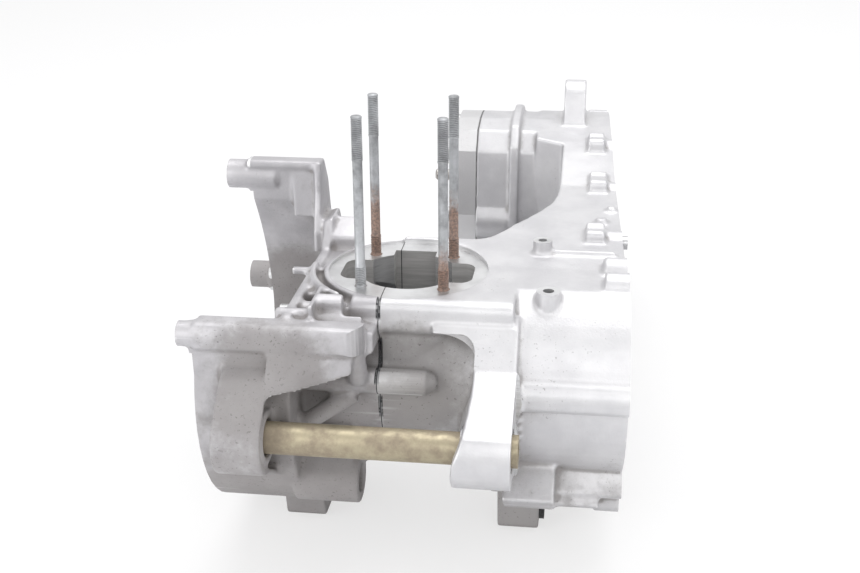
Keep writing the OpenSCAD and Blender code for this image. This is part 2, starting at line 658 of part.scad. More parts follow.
// Socket-head screw along X: head from the seat outwards to -X, shank to +X
key_r = 2.9;
key_depth = 3;
module socket_screw(seat, tip, y, z, head_r, head_h) {
    difference() {
        union() {
            rod_x(seat - head_h, seat, y, z, head_r);
            rod_x(seat - 1, tip, y, z, small_bore);
        }
        translate([seat - head_h - 1, y, z]) rotate([0, 90, 0]) cylinder(h = key_depth + 1, r = key_r, $fn = 6);
    }
}
module case_screws() {
    color("#8f9194") for (p = case_screw_at)
        socket_screw(duct_x, case_boss_x1 - 5, p[0], p[1], screw_head_r, screw_head_h);
}
module cylinder_studs() {
    shank_r = stud_d / 2 - 0.35;
    foot_r = stud_d / 2 + 0.5;
    color("#77726c") for (x = [-1, 1], y = [-1, 1])
        translate([x * stud_dx / 2, y * stud_dy / 2, deck_z]) rotate_extrude()
            polygon([[0, -stud_sink], [foot_r, -stud_sink], [foot_r, 0], [shank_r, 1],
                     [shank_r, stud_rise - stud_thread - 1], [stud_d / 2, stud_rise - stud_thread],
                     [stud_d / 2, stud_rise - 0.8], [stud_d / 2 - 0.8, stud_rise], [0, stud_rise]]);
}
// The sleeve turns freely in its two bushes
run_gap = 0.06;
sleeve_x0 = -83;
sleeve_x1 = 68;
module hanger_sleeve() {
    color("#b39a4e")
        tube_x(sleeve_x0, sleeve_x1, -hanger_y, -hanger_drop, sleeve_d / 2, sleeve_bore / 2);
}
module hanger_bush(x0, x1) {
    color("#6b6c70") tube_x(x0, x1, -hanger_y, -hanger_drop, bush_d / 2, sleeve_d / 2 + run_gap);
}
module left_hanger_bush() { hanger_bush(bush_seat_left, 64.5); }
module right_hanger_bush() { hanger_bush(ear_x0 + 1, bush_seat_right); }

// Main bearings: outer race, ball row with its cage, inner race
ball_n = 8;
ball_r = 3.97;
pitch_r = (journal_d + bearing_d) / 4;
race_gap = 0.04;
module race_ring(x0, ri, ro) {
    translate([x0, 0, 0]) rotate([0, 90, 0]) rotate_extrude() difference() {
        polygon([[ri, 0], [ro, 0], [ro, bearing_w], [ri, bearing_w]]);
        translate([pitch_r, bearing_w / 2]) circle(r = ball_r + race_gap);
    }
}
module ball_row(x0) {
    cx = x0 + bearing_w / 2;
    for (i = [0 : ball_n - 1])
        rotate([i * 360 / ball_n, 0, 0]) translate([cx, 0, pitch_r]) sphere(r = ball_r);
    difference() {
        tube_x(cx - 2.2, cx + 2.2, 0, 0, pitch_r + 1.6, pitch_r - 1.6);
        for (i = [0 : ball_n - 1]) rotate([i * 360 / ball_n, 0, 0]) translate([cx, 0, pitch_r - 4])
            cylinder(h = 8, r = ball_r - 0.35);
    }
}
module bearing_outer(x0) { color("#b8babd") race_ring(x0, pitch_r + 2.3, bearing_d / 2 - seat_gap); }
module bearing_inner(x0) { color("#b8babd") race_ring(x0, journal_d / 2, pitch_r - 2.3); }
module left_bearing_outer() { bearing_outer(web_half); }
module left_bearing_inner() { bearing_inner(web_half); }
module left_bearing_balls() { color("#9a9ca0") ball_row(web_half); }
module right_bearing_outer() { bearing_outer(-bearing_x1); }
module right_bearing_inner() { bearing_inner(-bearing_x1); }
module right_bearing_balls() { color("#9a9ca0") ball_row(-bearing_x1); }

// Shaft seal: stiff shell with a lip that runs in towards the shaft
module lip_seal(ro, ri, w) {
    rotate([0, 90, 0]) rotate_extrude()
        polygon([[ro, 0], [ro, w], [ri + 1.2, w], [ri, w - 2.2], [ri + 0.9, w - 3.2], [ri + 1.6, w - 2],
                 [ri + 2.2, w - 1.4], [ro - 1.6, w - 1.4], [ro - 1.6, 0]]);
}
seal_lip_r = journal_d / 2 + 0.05;
module left_crank_seal() {
    color("#2c2a2a") translate([seal_x1 - seal_w + 0.5, 0, 0])
        lip_seal(seal_d / 2 - seat_gap, seal_lip_r, seal_w - 0.5);
}
module right_crank_seal() {
    color("#2c2a2a") translate([-seal_x1 + seal_w - 0.5, 0, 0]) mirror([1, 0, 0])
        lip_seal(seal_d / 2 - seat_gap, seal_lip_r, seal_w - 0.5);
}

pin_at = [clutch_y - 9, clutch_z + 20];
pin_r = 4;
pin_root_r = 5;
pin_x0 = -15;
pin_x1 = 12;
module gearbox_cover() {
    color("#c3c1c2") difference() {
        union() {
            difference() {
                across(gear_cover_x0, gear_cover_x1) polygon(gear_side(0));
                difference() {
                    across(gear_cover_x0 + gear_cover_skin, gear_cover_x1 + 1) polygon(gear_side(gear_wall));
                    for (p = gear_screw_at) rod_x(0, 30, p[0], p[1], gear_boss_r);
                    rod_x(0, pin_x1 + 3, pin_at[0], pin_at[1], pin_root_r + 3);
                    rod_x(0, axle_race_x0 + axle_race_size[2], axle_at[0], axle_at[1], axle_race_size[0] + 4);
                    for (p = [clutch_at, counter_at])
                        rod_x(0, gear_cover_x0 + gear_cover_skin + bush_w, p[0], p[1], bush_out + 5);
                }
            }
            rod_x(axle_race_x0 - axle_seal_w - 1, gear_cover_x0 + 1, axle_at[0], axle_at[1],
                axle_race_size[0] + 4);
            rod_x(gear_cover_x0 - 4, gear_cover_x0 + 1, pin_at[0], pin_at[1], pin_root_r + 3);
            for (a = [30 : 60 : 330]) translate([0, axle_at[0], axle_at[1]]) rotate([a, 0, 0])
                block(gear_cover_x0 - 3.5, gear_cover_x0 + 1, -1.5, 1.5, axle_race_size[0] + 2, seal_rib_reach);
        }
        rod_x(axle_race_x0, 30, axle_at[0], axle_at[1], axle_race_size[0] + seat_gap);
        rod_x(-30, axle_race_x0 + 1, axle_at[0], axle_at[1], axle_race_size[0] - 5.5);
        rod_x(-30, axle_race_x0 - 1, axle_at[0], axle_at[1], axle_race_size[0] - 4);
        for (p = [clutch_at, counter_at])
            rod_x(gear_cover_x0 + gear_cover_skin, 30, p[0], p[1], bush_out + seat_gap);
        for (p = gear_screw_at) rod_x(-5, 30, p[0], p[1], small_bore + 0.25);
        for (i = gear_dowel_on)
            rod_x(gear_cover_x1 - gear_dowel_in, 30, gear_screw_at[i][0], gear_screw_at[i][1],
                gear_dowel_r + seat_gap);
        rod_x(-30, pin_x1, pin_at[0], pin_at[1], pin_root_r + seat_gap);
    }
}
module gearbox_gasket() {
    color("#222226") across(gear_cover_x1, gear_case_x) difference() {
        polygon(gear_side(0));
        difference() {
            polygon(gear_side(gear_wall));
            for (p = gear_screw_at) translate(p) circle(r = gear_boss_r);
        }
        for (p = gear_screw_at) translate(p) circle(r = small_bore + 0.25);
        for (i = gear_dowel_on) translate(gear_screw_at[i]) circle(r = gear_dowel_r + seat_gap);
    }
}
module gearbox_dowels() {
    color("#a7a9ac") for (i = gear_dowel_on)
        tube_x(gear_cover_x1 - gear_dowel_in, gear_case_x + gear_dowel_in,
            gear_screw_at[i][0], gear_screw_at[i][1], gear_dowel_r, gear_dowel_bore);
}
module gearbox_screws() {
    color("#8f9194") for (p = gear_screw_at)
        socket_screw(gear_cover_x0, gear_cover_x0 + gear_screw_l, p[0], p[1], small_head_r, small_head_h);
}
module brake_anchor_pin() {
    out = gear_cover_x0 - 4 - pin_x0;
    color("#84807a") translate([pin_x0, pin_at[0], pin_at[1]]) rotate([0, 90, 0]) rotate_extrude()
        polygon([[0, 0], [pin_r - 1, 0], [pin_r, 1], [pin_r, out], [pin_root_r, out],
                 [pin_root_r, pin_x1 - pin_x0], [0, pin_x1 - pin_x0]]);
}
// Sealed ball bearing along X: outer ring with its two seals, and an inner ring that turns in it
module sealed_outer(size) {
    rc = (size[0] + size[1]) / 2;
    rotate([0, 90, 0]) rotate_extrude()
        polygon([[size[0] - seat_gap, 0], [size[0] - seat_gap, size[2]],
                 [rc + 2.4, size[2]], [rc + 2.4, size[2] - 0.8],
                 [rc - 2.2, size[2] - 0.8], [rc - 2.2, size[2] - 1.8],
                 [rc + 2.4, size[2] - 1.8], [rc + 2.4, 1.8],
                 [rc - 2.2, 1.8], [rc - 2.2, 0.8], [rc + 2.4, 0.8], [rc + 2.4, 0]]);
}
module sealed_inner(size) {
    rc = (size[0] + size[1]) / 2;
    rotate([0, 90, 0]) rotate_extrude() polygon([[size[1], 0], [size[1], size[2]],
        [rc - 2.2 - run_gap, size[2]], [rc - 2.2 - run_gap, 0]]);
}
module clutch_shaft_bearing() {
    color("#b8babd") translate([clutch_race_x1 - clutch_race[2], clutch_at[0], clutch_at[1]])
        sealed_outer(clutch_race);
}
module clutch_shaft_race() {
    color("#b8babd") translate([clutch_race_x1 - clutch_race[2], clutch_at[0], clutch_at[1]])
        sealed_inner(clutch_race);
}
module clutch_shaft_seal() {
    color("#2c2a2a") translate([clutch_floor_x - clutch_seal_w, clutch_at[0], clutch_at[1]])
        lip_seal(clutch_seal_r - seat_gap, clutch_race[1] + 0.05, clutch_seal_w);
}
module axle_bearing() {
    color("#b8babd") translate([axle_race_x0, axle_at[0], axle_at[1]]) sealed_outer(axle_race_size);
}
module axle_race() {
    color("#b8babd") translate([axle_race_x0, axle_at[0], axle_at[1]]) sealed_inner(axle_race_size);
}
module axle_seal() {
    color("#2c2a2a") translate([axle_race_x0 - 1, axle_at[0], axle_at[1]]) mirror([1, 0, 0])
        lip_seal(axle_race_size[0] - 4 - seat_gap, axle_race_size[1] + 0.05, axle_seal_w);
}
module shaft_bushes() {
    color("#a9824a") {
        for (p = [axle_at, counter_at])
            tube_x(gear_floor_x - bush_w, gear_floor_x + 1, p[0], p[1], bush_out - seat_gap, bush_in);
        for (p = [clutch_at, counter_at])
            tube_x(gear_cover_x0 + gear_cover_skin, gear_cover_x0 + gear_cover_skin + bush_w, p[0], p[1],
                bush_out, bush_in);
    }
}
module drain_washer() {
    color("#b0744a") difference() {
        rod_z(drain_at[0], drain_at[1], drain_face_z - 1.5, drain_face_z, 7.6);
        rod_z(drain_at[0], drain_at[1], drain_face_z - 3, drain_face_z + 1, drain_r + 0.2);
    }
}
module drain_plug() {
    color("#8b8d90") {
        translate([drain_at[0], drain_at[1], drain_face_z - 7.5]) cylinder(h = 6, r = 7, $fn = 6);
        rod_z(drain_at[0], drain_at[1], drain_face_z - 2, drain_face_z + 11, drain_r);
    }
}
module breather_pipe() {
    out = nipple_sunk + nipple_reach;
    color("#9c9da0") translate([breather_at[0], breather_y - 4, breather_at[1]])
        rotate([-90, 0, 0]) rotate_extrude()
            polygon([[nipple_bore, 0], [nipple_root_r, 0], [nipple_root_r, nipple_sunk], [nipple_r, nipple_sunk],
                     [nipple_r, out], [nipple_r - 0.5, out + 0.5], [nipple_bore, out + 0.5]]);
}
module stand_bushes() {
    color("#3a3a3c") {
        bush_r = foot_bore / 2 - seat_gap;
        tube_x(left_foot_x + 2, left_foot_x + foot_w + 3, 0, stand_z, bush_r, stand_bush_bore);
        tube_x(left_foot_x + foot_w, left_foot_x + foot_w + 3, 0, stand_z, bush_r + 3, stand_bush_bore);
        tube_x(right_foot_x, right_foot_x + foot_w, 0, stand_z, bush_r, stand_bush_bore);
    }
}
module cover_dowels() {
    color("#a7a9ac") for (i = rim_dowel_on) let(p = rim_boss_at[i], x = joint_at(p[0])) {
        tube_x(x - rim_dowel_in, x, p[0], p[1], rim_dowel_r, rim_dowel_bore);
        tube_x(x - 1, x + rim_dowel_out, p[0], p[1], rim_dowel_tip_r, rim_dowel_bore);
    }
}

left_case();
right_case();
centre_gasket();
centre_dowels();
case_screws();
cylinder_studs();
hanger_sleeve();
left_hanger_bush();
right_hanger_bush();
left_bearing_outer();
left_bearing_balls();
left_bearing_inner();
left_crank_seal();
right_bearing_outer();
right_bearing_balls();
right_bearing_inner();
right_crank_seal();
gearbox_cover();
gearbox_gasket();
gearbox_dowels();
gearbox_screws();
brake_anchor_pin();
clutch_shaft_bearing();
clutch_shaft_race();
clutch_shaft_seal();
axle_bearing();
axle_race();
axle_seal();
shaft_bushes();
drain_plug();
drain_washer();
breather_pipe();
stand_bushes();
cover_dowels();
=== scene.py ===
# %% [markdown]
# A bare scooter crankcase in two die-cast halves.
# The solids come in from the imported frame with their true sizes. This file gives them their looks:
# the soft edges and rough skin of pressure die-casting, crisp machined faces, real threads, grime and rust.
# It also sets up a pale floor, soft light and the camera.

import json
import math

import bmesh
import bpy
from mathutils import Matrix, Vector


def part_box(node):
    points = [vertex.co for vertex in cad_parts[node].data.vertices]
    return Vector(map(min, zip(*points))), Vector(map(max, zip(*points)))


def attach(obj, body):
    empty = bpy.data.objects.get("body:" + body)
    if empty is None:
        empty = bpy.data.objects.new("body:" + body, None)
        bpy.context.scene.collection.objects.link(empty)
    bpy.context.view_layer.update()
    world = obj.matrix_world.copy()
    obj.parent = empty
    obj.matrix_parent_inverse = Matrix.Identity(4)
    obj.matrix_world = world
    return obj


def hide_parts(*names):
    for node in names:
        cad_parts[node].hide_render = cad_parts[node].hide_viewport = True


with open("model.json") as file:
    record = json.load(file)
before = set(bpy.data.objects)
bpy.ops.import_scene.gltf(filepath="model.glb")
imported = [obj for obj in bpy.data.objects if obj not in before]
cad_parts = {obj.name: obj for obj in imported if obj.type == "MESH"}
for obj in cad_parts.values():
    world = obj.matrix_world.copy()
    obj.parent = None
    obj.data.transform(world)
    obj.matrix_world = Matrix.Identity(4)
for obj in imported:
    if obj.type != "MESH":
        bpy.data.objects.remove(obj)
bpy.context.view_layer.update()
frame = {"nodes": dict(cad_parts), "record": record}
MM = 0.001

# %% [markdown]
# The finishes share two effects: the fine grain and pores that a die leaves, and dirt that settles in
# patches. Each is a node group, made once, and every material sets its own values. A group is used here
# instead of copied nodes, because one change then reaches all the metals.

# %% Helpers for shader groups
def new_group(name, inputs, outputs):
    group = bpy.data.node_groups.new(name, "ShaderNodeTree")
    for label, value in inputs:
        kind = "NodeSocketVector" if label == "Position" else "NodeSocketFloat"
        socket = group.interface.new_socket(label, in_out="INPUT", socket_type=kind)
        if value is not None:
            socket.default_value = value
    for label in outputs:
        group.interface.new_socket(label, in_out="OUTPUT", socket_type="NodeSocketFloat")
    start = group.nodes.new("NodeGroupInput")
    end = group.nodes.new("NodeGroupOutput")
    return group, start, end


def add(tree, kind, **settings):
    node = tree.nodes.new(kind)
    for key, value in settings.items():
        setattr(node, key, value)
    return node


def wire(tree, source, target):
    tree.links.new(source, target)


def math_node(tree, operation, a, b=None, clamp=False):
    node = add(tree, "ShaderNodeMath", operation=operation, use_clamp=clamp)
    for socket, value in zip(node.inputs, (a, b)):
        if value is None:
            continue
        if isinstance(value, (int, float)):
            socket.default_value = value
        else:
            wire(tree, value, socket)
    return node.outputs[0]


def noise(tree, position, scale, detail=4.0, roughness=0.55):
    node = add(tree, "ShaderNodeTexNoise")
    wire(tree, position, node.inputs["Vector"])
    if isinstance(scale, (int, float)):
        node.inputs["Scale"].default_value = scale
    else:
        wire(tree, scale, node.inputs["Scale"])
    node.inputs["Detail"].default_value = detail
    node.inputs["Roughness"].default_value = roughness
    return node.outputs["Fac"]


def band(tree, value, low, high, to_low=0.0, to_high=1.0):
    node = add(tree, "ShaderNodeMapRange", interpolation_type="SMOOTHSTEP")
    wire(tree, value, node.inputs["Value"])
    for label, number in (("From Min", low), ("From Max", high), ("To Min", to_low), ("To Max", to_high)):
        if isinstance(number, (int, float)):
            node.inputs[label].default_value = number
        else:
            wire(tree, number, node.inputs[label])
    return node.outputs["Result"]


# %% [markdown]
# Die-cast skin: metal that froze against a steel die. Up close it has a fine pebble grain, slow waves of
# lighter and darker metal, and small pores. A few noises of different size give this. A picture of metal
# would give it too, but it would stretch over these curved walls.

# %% Group: cast skin
def make_cast_skin():
    group, start, end = new_group(
        "cast_skin",
        [("Position", None), ("Grain Scale", 900.0), ("Pore Amount", 0.3)],
        ["Tone", "Height", "Pores"],
    )
    position = start.outputs["Position"]
    grain = noise(group, position, start.outputs["Grain Scale"], 3.0, 0.6)
    cloud = noise(group, position, 38.0, 5.0, 0.6)
    wide = noise(group, position, 11.0, 2.0, 0.5)
    pore_noise = noise(group, position, 330.0, 2.0, 0.5)
    more_pores = math_node(group, "MULTIPLY", start.outputs["Pore Amount"], 0.16)
    pore_edge = math_node(group, "SUBTRACT", 0.80, more_pores)
    pores = band(group, pore_noise, pore_edge, 0.86)
    patches = band(group, noise(group, position, 24.0, 3.0, 0.5), 0.42, 0.62)
    pores = math_node(group, "MULTIPLY", pores, patches)
    clouds = math_node(group, "MULTIPLY", cloud, 0.6)
    tone = math_node(group, "ADD", clouds, math_node(group, "MULTIPLY", wide, 0.4))
    pebbles = math_node(group, "MULTIPLY", grain, 0.5)
    height = math_node(group, "SUBTRACT", pebbles, math_node(group, "MULTIPLY", pores, 1.6))
    wire(group, tone, end.inputs["Tone"])
    wire(group, height, end.inputs["Height"])
    wire(group, pores, end.inputs["Pores"])
    return group


cast_skin = make_cast_skin()
print("group:", cast_skin.name)

# %% [markdown]
# Dirt on an engine is not even. It lies thick low down and in corners, and thins out on open faces.
# The group mixes a few noises with a value for how sheltered a spot is.

# %% Group: grime
def make_grime():
    group, start, end = new_group(
        "grime",
        [("Position", None), ("Shelter", 0.0), ("Amount", 0.4)],
        ["Film", "Specks"],
    )
    position = start.outputs["Position"]
    wide = noise(group, position, 17.0, 6.0, 0.65)
    fine = noise(group, position, 120.0, 4.0, 0.7)
    blend = math_node(group, "MULTIPLY", wide, 0.65)
    blend = math_node(group, "ADD", blend, math_node(group, "MULTIPLY", fine, 0.35))
    blend = math_node(group, "ADD", blend, math_node(group, "MULTIPLY", start.outputs["Shelter"], 0.30))
    edge = math_node(group, "SUBTRACT", 0.84, math_node(group, "MULTIPLY", start.outputs["Amount"], 0.46))
    film = band(group, blend, edge, math_node(group, "ADD", edge, 0.22))
    crumbs = noise(group, position, 600.0, 3.0, 0.65)
    more_crumbs = math_node(group, "MULTIPLY", start.outputs["Amount"], 0.10)
    specks = band(group, crumbs, math_node(group, "SUBTRACT", 0.665, more_crumbs), 0.69)
    crowd = math_node(group, "ADD", wide, math_node(group, "MULTIPLY", start.outputs["Shelter"], 0.12))
    specks = math_node(group, "MULTIPLY", specks, band(group, crowd, 0.50, 0.68))
    wire(group, film, end.inputs["Film"])
    wire(group, specks, end.inputs["Specks"])
    return group


grime = make_grime()
print("group:", grime.name)

# %% [markdown]
# Node groups are placed with named values, and colours are mixed one over the other, as paint is laid on.

# %% Helpers for materials
def place(tree, group, **values):
    node = add(tree, "ShaderNodeGroup", node_tree=group)
    for key, value in values.items():
        socket = node.inputs[key.replace("_", " ")]
        if isinstance(value, (int, float)):
            socket.default_value = value
        else:
            wire(tree, value, socket)
    return node


def mix_colour(tree, factor, a, b):
    node = add(tree, "ShaderNodeMix", data_type="RGBA")
    if isinstance(factor, (int, float)):
        node.inputs["Factor"].default_value = factor
    else:
        wire(tree, factor, node.inputs["Factor"])
    for socket, value in ((node.inputs[6], a), (node.inputs[7], b)):
        if isinstance(value, tuple):
            socket.default_value = (*value, 1.0)
        else:
            wire(tree, value, socket)
    return node.outputs[2]


def shade_and_dirt_zone(tree, position, centre, reach):
    """1 near a point of the object, falling to 0 over a distance, both in metres."""
    node = add(tree, "ShaderNodeVectorMath", operation="DISTANCE")
    wire(tree, position, node.inputs[0])
    node.inputs[1].default_value = centre
    return band(tree, node.outputs["Value"], reach * 0.35, reach, 1.0, 0.0)


print("material helpers ready")

# %% [markdown]
# The castings come from one maker function, fed by the skin and grime groups. Pointiness tells edges,
# which rub bright, from corners, which take painted shade and keep dirt. Ambient occlusion finds the hollow
# places, and the height tells how low a spot lies. With the zones they make a shelter mask: it lays painted
# shade over hollows, corners and lower parts and thickens the dirt film there. Black sealant squeezed out
# beside the parting line in three stretches.

# %% Cast metal
PARTING_X = -0.009
SEALANT_TOP = 0.046
SEALANT_SPANS = [(0.0335, 0.0125), (0.0005, -0.0130)]
SEALANT_FRONT_Y = -0.037
# Painted shade: the first colour below is laid over the hollows, corners and lower parts of the castings.
SHADE_TONE = (0.27, 0.25, 0.235)
OLD_OIL = (0.15, 0.13, 0.115)
CRUMB = (0.09, 0.08, 0.075)
PORE = (0.12, 0.11, 0.11)
SEALANT = (0.012, 0.012, 0.014)
RUBBED = (0.80, 0.80, 0.80)


def sealant_mask(tree, position, axes):
    """1 on the thin stretches of sealant beside the parting line, 0 elsewhere."""
    beside = math_node(tree, "ABSOLUTE", math_node(tree, "SUBTRACT", axes.outputs["X"], PARTING_X))
    wobble = math_node(tree, "MULTIPLY", noise(tree, position, 90.0, 2.0, 0.5), 0.0004)
    beside = math_node(tree, "SUBTRACT", beside, wobble)
    sealed = band(tree, beside, 0.0012, 0.0009)
    spans = band(tree, axes.outputs["Z"], SEALANT_TOP - 0.001, SEALANT_TOP + 0.001)
    for top, foot in SEALANT_SPANS:
        above_foot = band(tree, axes.outputs["Z"], foot - 0.001, foot + 0.001)
        below_top = band(tree, axes.outputs["Z"], top + 0.001, top - 0.001)
        spans = math_node(tree, "MAXIMUM", spans, math_node(tree, "MULTIPLY", above_foot, below_top))
    front = band(tree, axes.outputs["Y"], SEALANT_FRONT_Y + 0.001, SEALANT_FRONT_Y - 0.001)
    return math_node(tree, "MULTIPLY", sealed, math_node(tree, "MULTIPLY", spans, front))


def cast_metal(name, light, dark, rough, amount, zones, bump=0.4, low_from=(0.02, -0.09)):
    material = bpy.data.materials.new(name)
    material.use_nodes = True
    tree = material.node_tree
    shader = tree.nodes["Principled BSDF"]
    position = add(tree, "ShaderNodeTexCoord").outputs["Object"]
    point = add(tree, "ShaderNodeNewGeometry").outputs["Pointiness"]
    corner = band(tree, point, 0.497, 0.470)
    edge = band(tree, point, 0.530, 0.580)
    skin = place(tree, cast_skin, Position=position, Grain_Scale=820.0, Pore_Amount=amount)
    colour = mix_colour(tree, band(tree, skin.outputs["Tone"], 0.36, 0.64), dark, light)
    hollow = add(tree, "ShaderNodeAmbientOcclusion", samples=4)
    hollow.inputs["Distance"].default_value = 0.020
    axes = add(tree, "ShaderNodeSeparateXYZ")
    wire(tree, position, axes.inputs[0])
    # Painted shade and a thicker dirt film towards the bottom, from the first height of low_from down to the
    # second.
    low = band(tree, axes.outputs["Z"], low_from[0], low_from[1])
    shelter = math_node(tree, "ADD", corner, math_node(tree, "MULTIPLY", low, 0.85))
    shelter = math_node(tree, "ADD", shelter, band(tree, hollow.outputs["AO"], 0.80, 0.25))
    # Each zone adds painted shade and dirt near its centre.
    for centre, reach, weight in zones:
        zone = math_node(tree, "MULTIPLY", shade_and_dirt_zone(tree, position, centre, reach), weight)
        shelter = math_node(tree, "ADD", shelter, zone)
    dirt = place(tree, grime, Position=position, Shelter=shelter, Amount=amount)
    # Painted shade: a grey-brown tone darkens the casting where the shelter mask is high, in hollows,
    # corners, low parts and zones.
    painted_shade = math_node(tree, "MULTIPLY", shelter, 0.42, clamp=True)
    colour = mix_colour(tree, math_node(tree, "MULTIPLY", painted_shade, 0.55), colour, SHADE_TONE)
    colour = mix_colour(tree, math_node(tree, "MULTIPLY", dirt.outputs["Film"], 0.48), colour, OLD_OIL)
    sealed = sealant_mask(tree, position, axes)
    colour = mix_colour(tree, math_node(tree, "MULTIPLY", sealed, 0.92), colour, SEALANT)
    colour = mix_colour(tree, math_node(tree, "MULTIPLY", dirt.outputs["Specks"], 0.55), colour, CRUMB)
    colour = mix_colour(tree, math_node(tree, "MULTIPLY", skin.outputs["Pores"], 0.35), colour, PORE)
    colour = mix_colour(tree, math_node(tree, "MULTIPLY", edge, 0.45), colour, RUBBED)
    wire(tree, colour, shader.inputs["Base Color"])
    roughness = math_node(tree, "ADD", rough, math_node(tree, "MULTIPLY", dirt.outputs["Film"], 0.22))
    roughness = math_node(tree, "SUBTRACT", roughness, math_node(tree, "MULTIPLY", edge, 0.12), clamp=True)
    wire(tree, roughness, shader.inputs["Roughness"])
    dulled = math_node(tree, "MULTIPLY", dirt.outputs["Film"], 0.55)
    metal = math_node(tree, "SUBTRACT", 0.72, dulled, clamp=True)
    wire(tree, metal, shader.inputs["Metallic"])
    relief = add(tree, "ShaderNodeBump")
    relief.inputs["Strength"].default_value = bump
    relief.inputs["Distance"].default_value = 0.0006
    wire(tree, skin.outputs["Height"], relief.inputs["Height"])
    wire(tree, relief.outputs["Normal"], shader.inputs["Normal"])
    return material


print("cast metal maker ready, sealant stretches:", len(SEALANT_SPANS) + 1)

# %% [markdown]
# Cut faces: where the casting was milled or bored, the metal is bright and shows the tool's fine lines.
# One maker serves these faces and all turned metals, a second adds rust for the studs, and a third is for
# rubber and gasket card.

# %% Machined and other finishes
TURNED_STAIN = (0.14, 0.11, 0.09)


def turned_metal(
    name, colour, rough, line_scale=1500.0, dirt_amount=0.25, metallic=0.95, stain=TURNED_STAIN, axis=0,
):
    material = bpy.data.materials.new(name)
    material.use_nodes = True
    tree = material.node_tree
    shader = tree.nodes["Principled BSDF"]
    position = add(tree, "ShaderNodeTexCoord").outputs["Object"]
    stretch = add(tree, "ShaderNodeMapping")
    wire(tree, position, stretch.inputs["Vector"])
    scale = [0.06, 0.06, 0.06]
    scale[axis] = 1.0
    stretch.inputs["Scale"].default_value = scale
    lines = noise(tree, stretch.outputs["Vector"], line_scale, 3.0, 0.6)
    dirt = place(tree, grime, Position=position, Shelter=0.2, Amount=dirt_amount)
    tint = mix_colour(tree, band(tree, lines, 0.3, 0.7), tuple(0.78 * c for c in colour), colour)
    tint = mix_colour(tree, math_node(tree, "MULTIPLY", dirt.outputs["Film"], 0.7), tint, stain)
    wire(tree, tint, shader.inputs["Base Color"])
    spread = math_node(tree, "ADD", rough, math_node(tree, "MULTIPLY", dirt.outputs["Film"], 0.3))
    spread = math_node(tree, "ADD", spread, math_node(tree, "MULTIPLY", lines, 0.08))
    wire(tree, spread, shader.inputs["Roughness"])
    dulled = math_node(tree, "MULTIPLY", dirt.outputs["Film"], 0.5)
    metal = math_node(tree, "SUBTRACT", metallic, dulled, clamp=True)
    wire(tree, metal, shader.inputs["Metallic"])
    relief = add(tree, "ShaderNodeBump")
    relief.inputs["Strength"].default_value = 0.12
    relief.inputs["Distance"].default_value = 0.0002
    wire(tree, lines, relief.inputs["Height"])
    wire(tree, relief.outputs["Normal"], shader.inputs["Normal"])
    return material


def rusty_steel(name, rust_from, rust_to, rear_more, front_left_less):
    """Zinc-grey steel that turns to rust towards its foot: higher at the rear, less at the front left."""
    material = turned_metal(name, (0.50, 0.51, 0.525), 0.40, 260.0, 0.78, 0.75, (0.12, 0.12, 0.12), axis=0)
    tree = material.node_tree
    shader = tree.nodes["Principled BSDF"]
    position = add(tree, "ShaderNodeTexCoord").outputs["Object"]
    axes = add(tree, "ShaderNodeSeparateXYZ")
    wire(tree, position, axes.inputs[0])
    groove_shade = band(tree, add(tree, "ShaderNodeNewGeometry").outputs["Pointiness"], 0.495, 0.440)
    rear = math_node(tree, "MULTIPLY", band(tree, axes.outputs["Y"], -0.005, 0.005), rear_more)
    wave = math_node(tree, "MULTIPLY", noise(tree, position, 150.0, 5.0, 0.65), 0.030)
    level = math_node(tree, "ADD", math_node(tree, "SUBTRACT", axes.outputs["Z"], rear), wave)
    left = band(tree, axes.outputs["X"], 0.0, -0.002)
    near_left = math_node(tree, "MULTIPLY", left, band(tree, axes.outputs["Y"], 0.0, -0.002))
    level = math_node(tree, "ADD", level, math_node(tree, "MULTIPLY", near_left, front_left_less))
    rust = band(tree, level, rust_from, rust_to)
    fleck = noise(tree, position, 700.0, 4.0, 0.7)
    brown = mix_colour(tree, band(tree, fleck, 0.35, 0.65), (0.13, 0.075, 0.05), (0.34, 0.20, 0.14))
    base = shader.inputs["Base Color"].links[0].from_socket
    base = mix_colour(tree, math_node(tree, "MULTIPLY", rust, 0.85), base, brown)
    # Painted shade: the thread grooves are darkened.
    base = mix_colour(tree, math_node(tree, "MULTIPLY", groove_shade, 0.50), base, (0.07, 0.065, 0.06))
    wire(tree, base, shader.inputs["Base Color"])
    metal = shader.inputs["Metallic"].links[0].from_socket
    bare = math_node(tree, "SUBTRACT", 1.0, rust)
    wire(tree, math_node(tree, "MULTIPLY", metal, bare), shader.inputs["Metallic"])
    return material


def dull_stuff(name, colour, lighter, rough, scale=600.0):
    material = bpy.data.materials.new(name)
    material.use_nodes = True
    tree = material.node_tree
    shader = tree.nodes["Principled BSDF"]
    position = add(tree, "ShaderNodeTexCoord").outputs["Object"]
    fleck = noise(tree, position, scale, 4.0, 0.6)
    wire(tree, mix_colour(tree, band(tree, fleck, 0.35, 0.75), colour, lighter), shader.inputs["Base Color"])
    shader.inputs["Roughness"].default_value = rough
    relief = add(tree, "ShaderNodeBump")
    relief.inputs["Strength"].default_value = 0.2
    relief.inputs["Distance"].default_value = 0.0003
    wire(tree, fleck, relief.inputs["Height"])
    wire(tree, relief.outputs["Normal"], shader.inputs["Normal"])
    return material


print("makers ready")
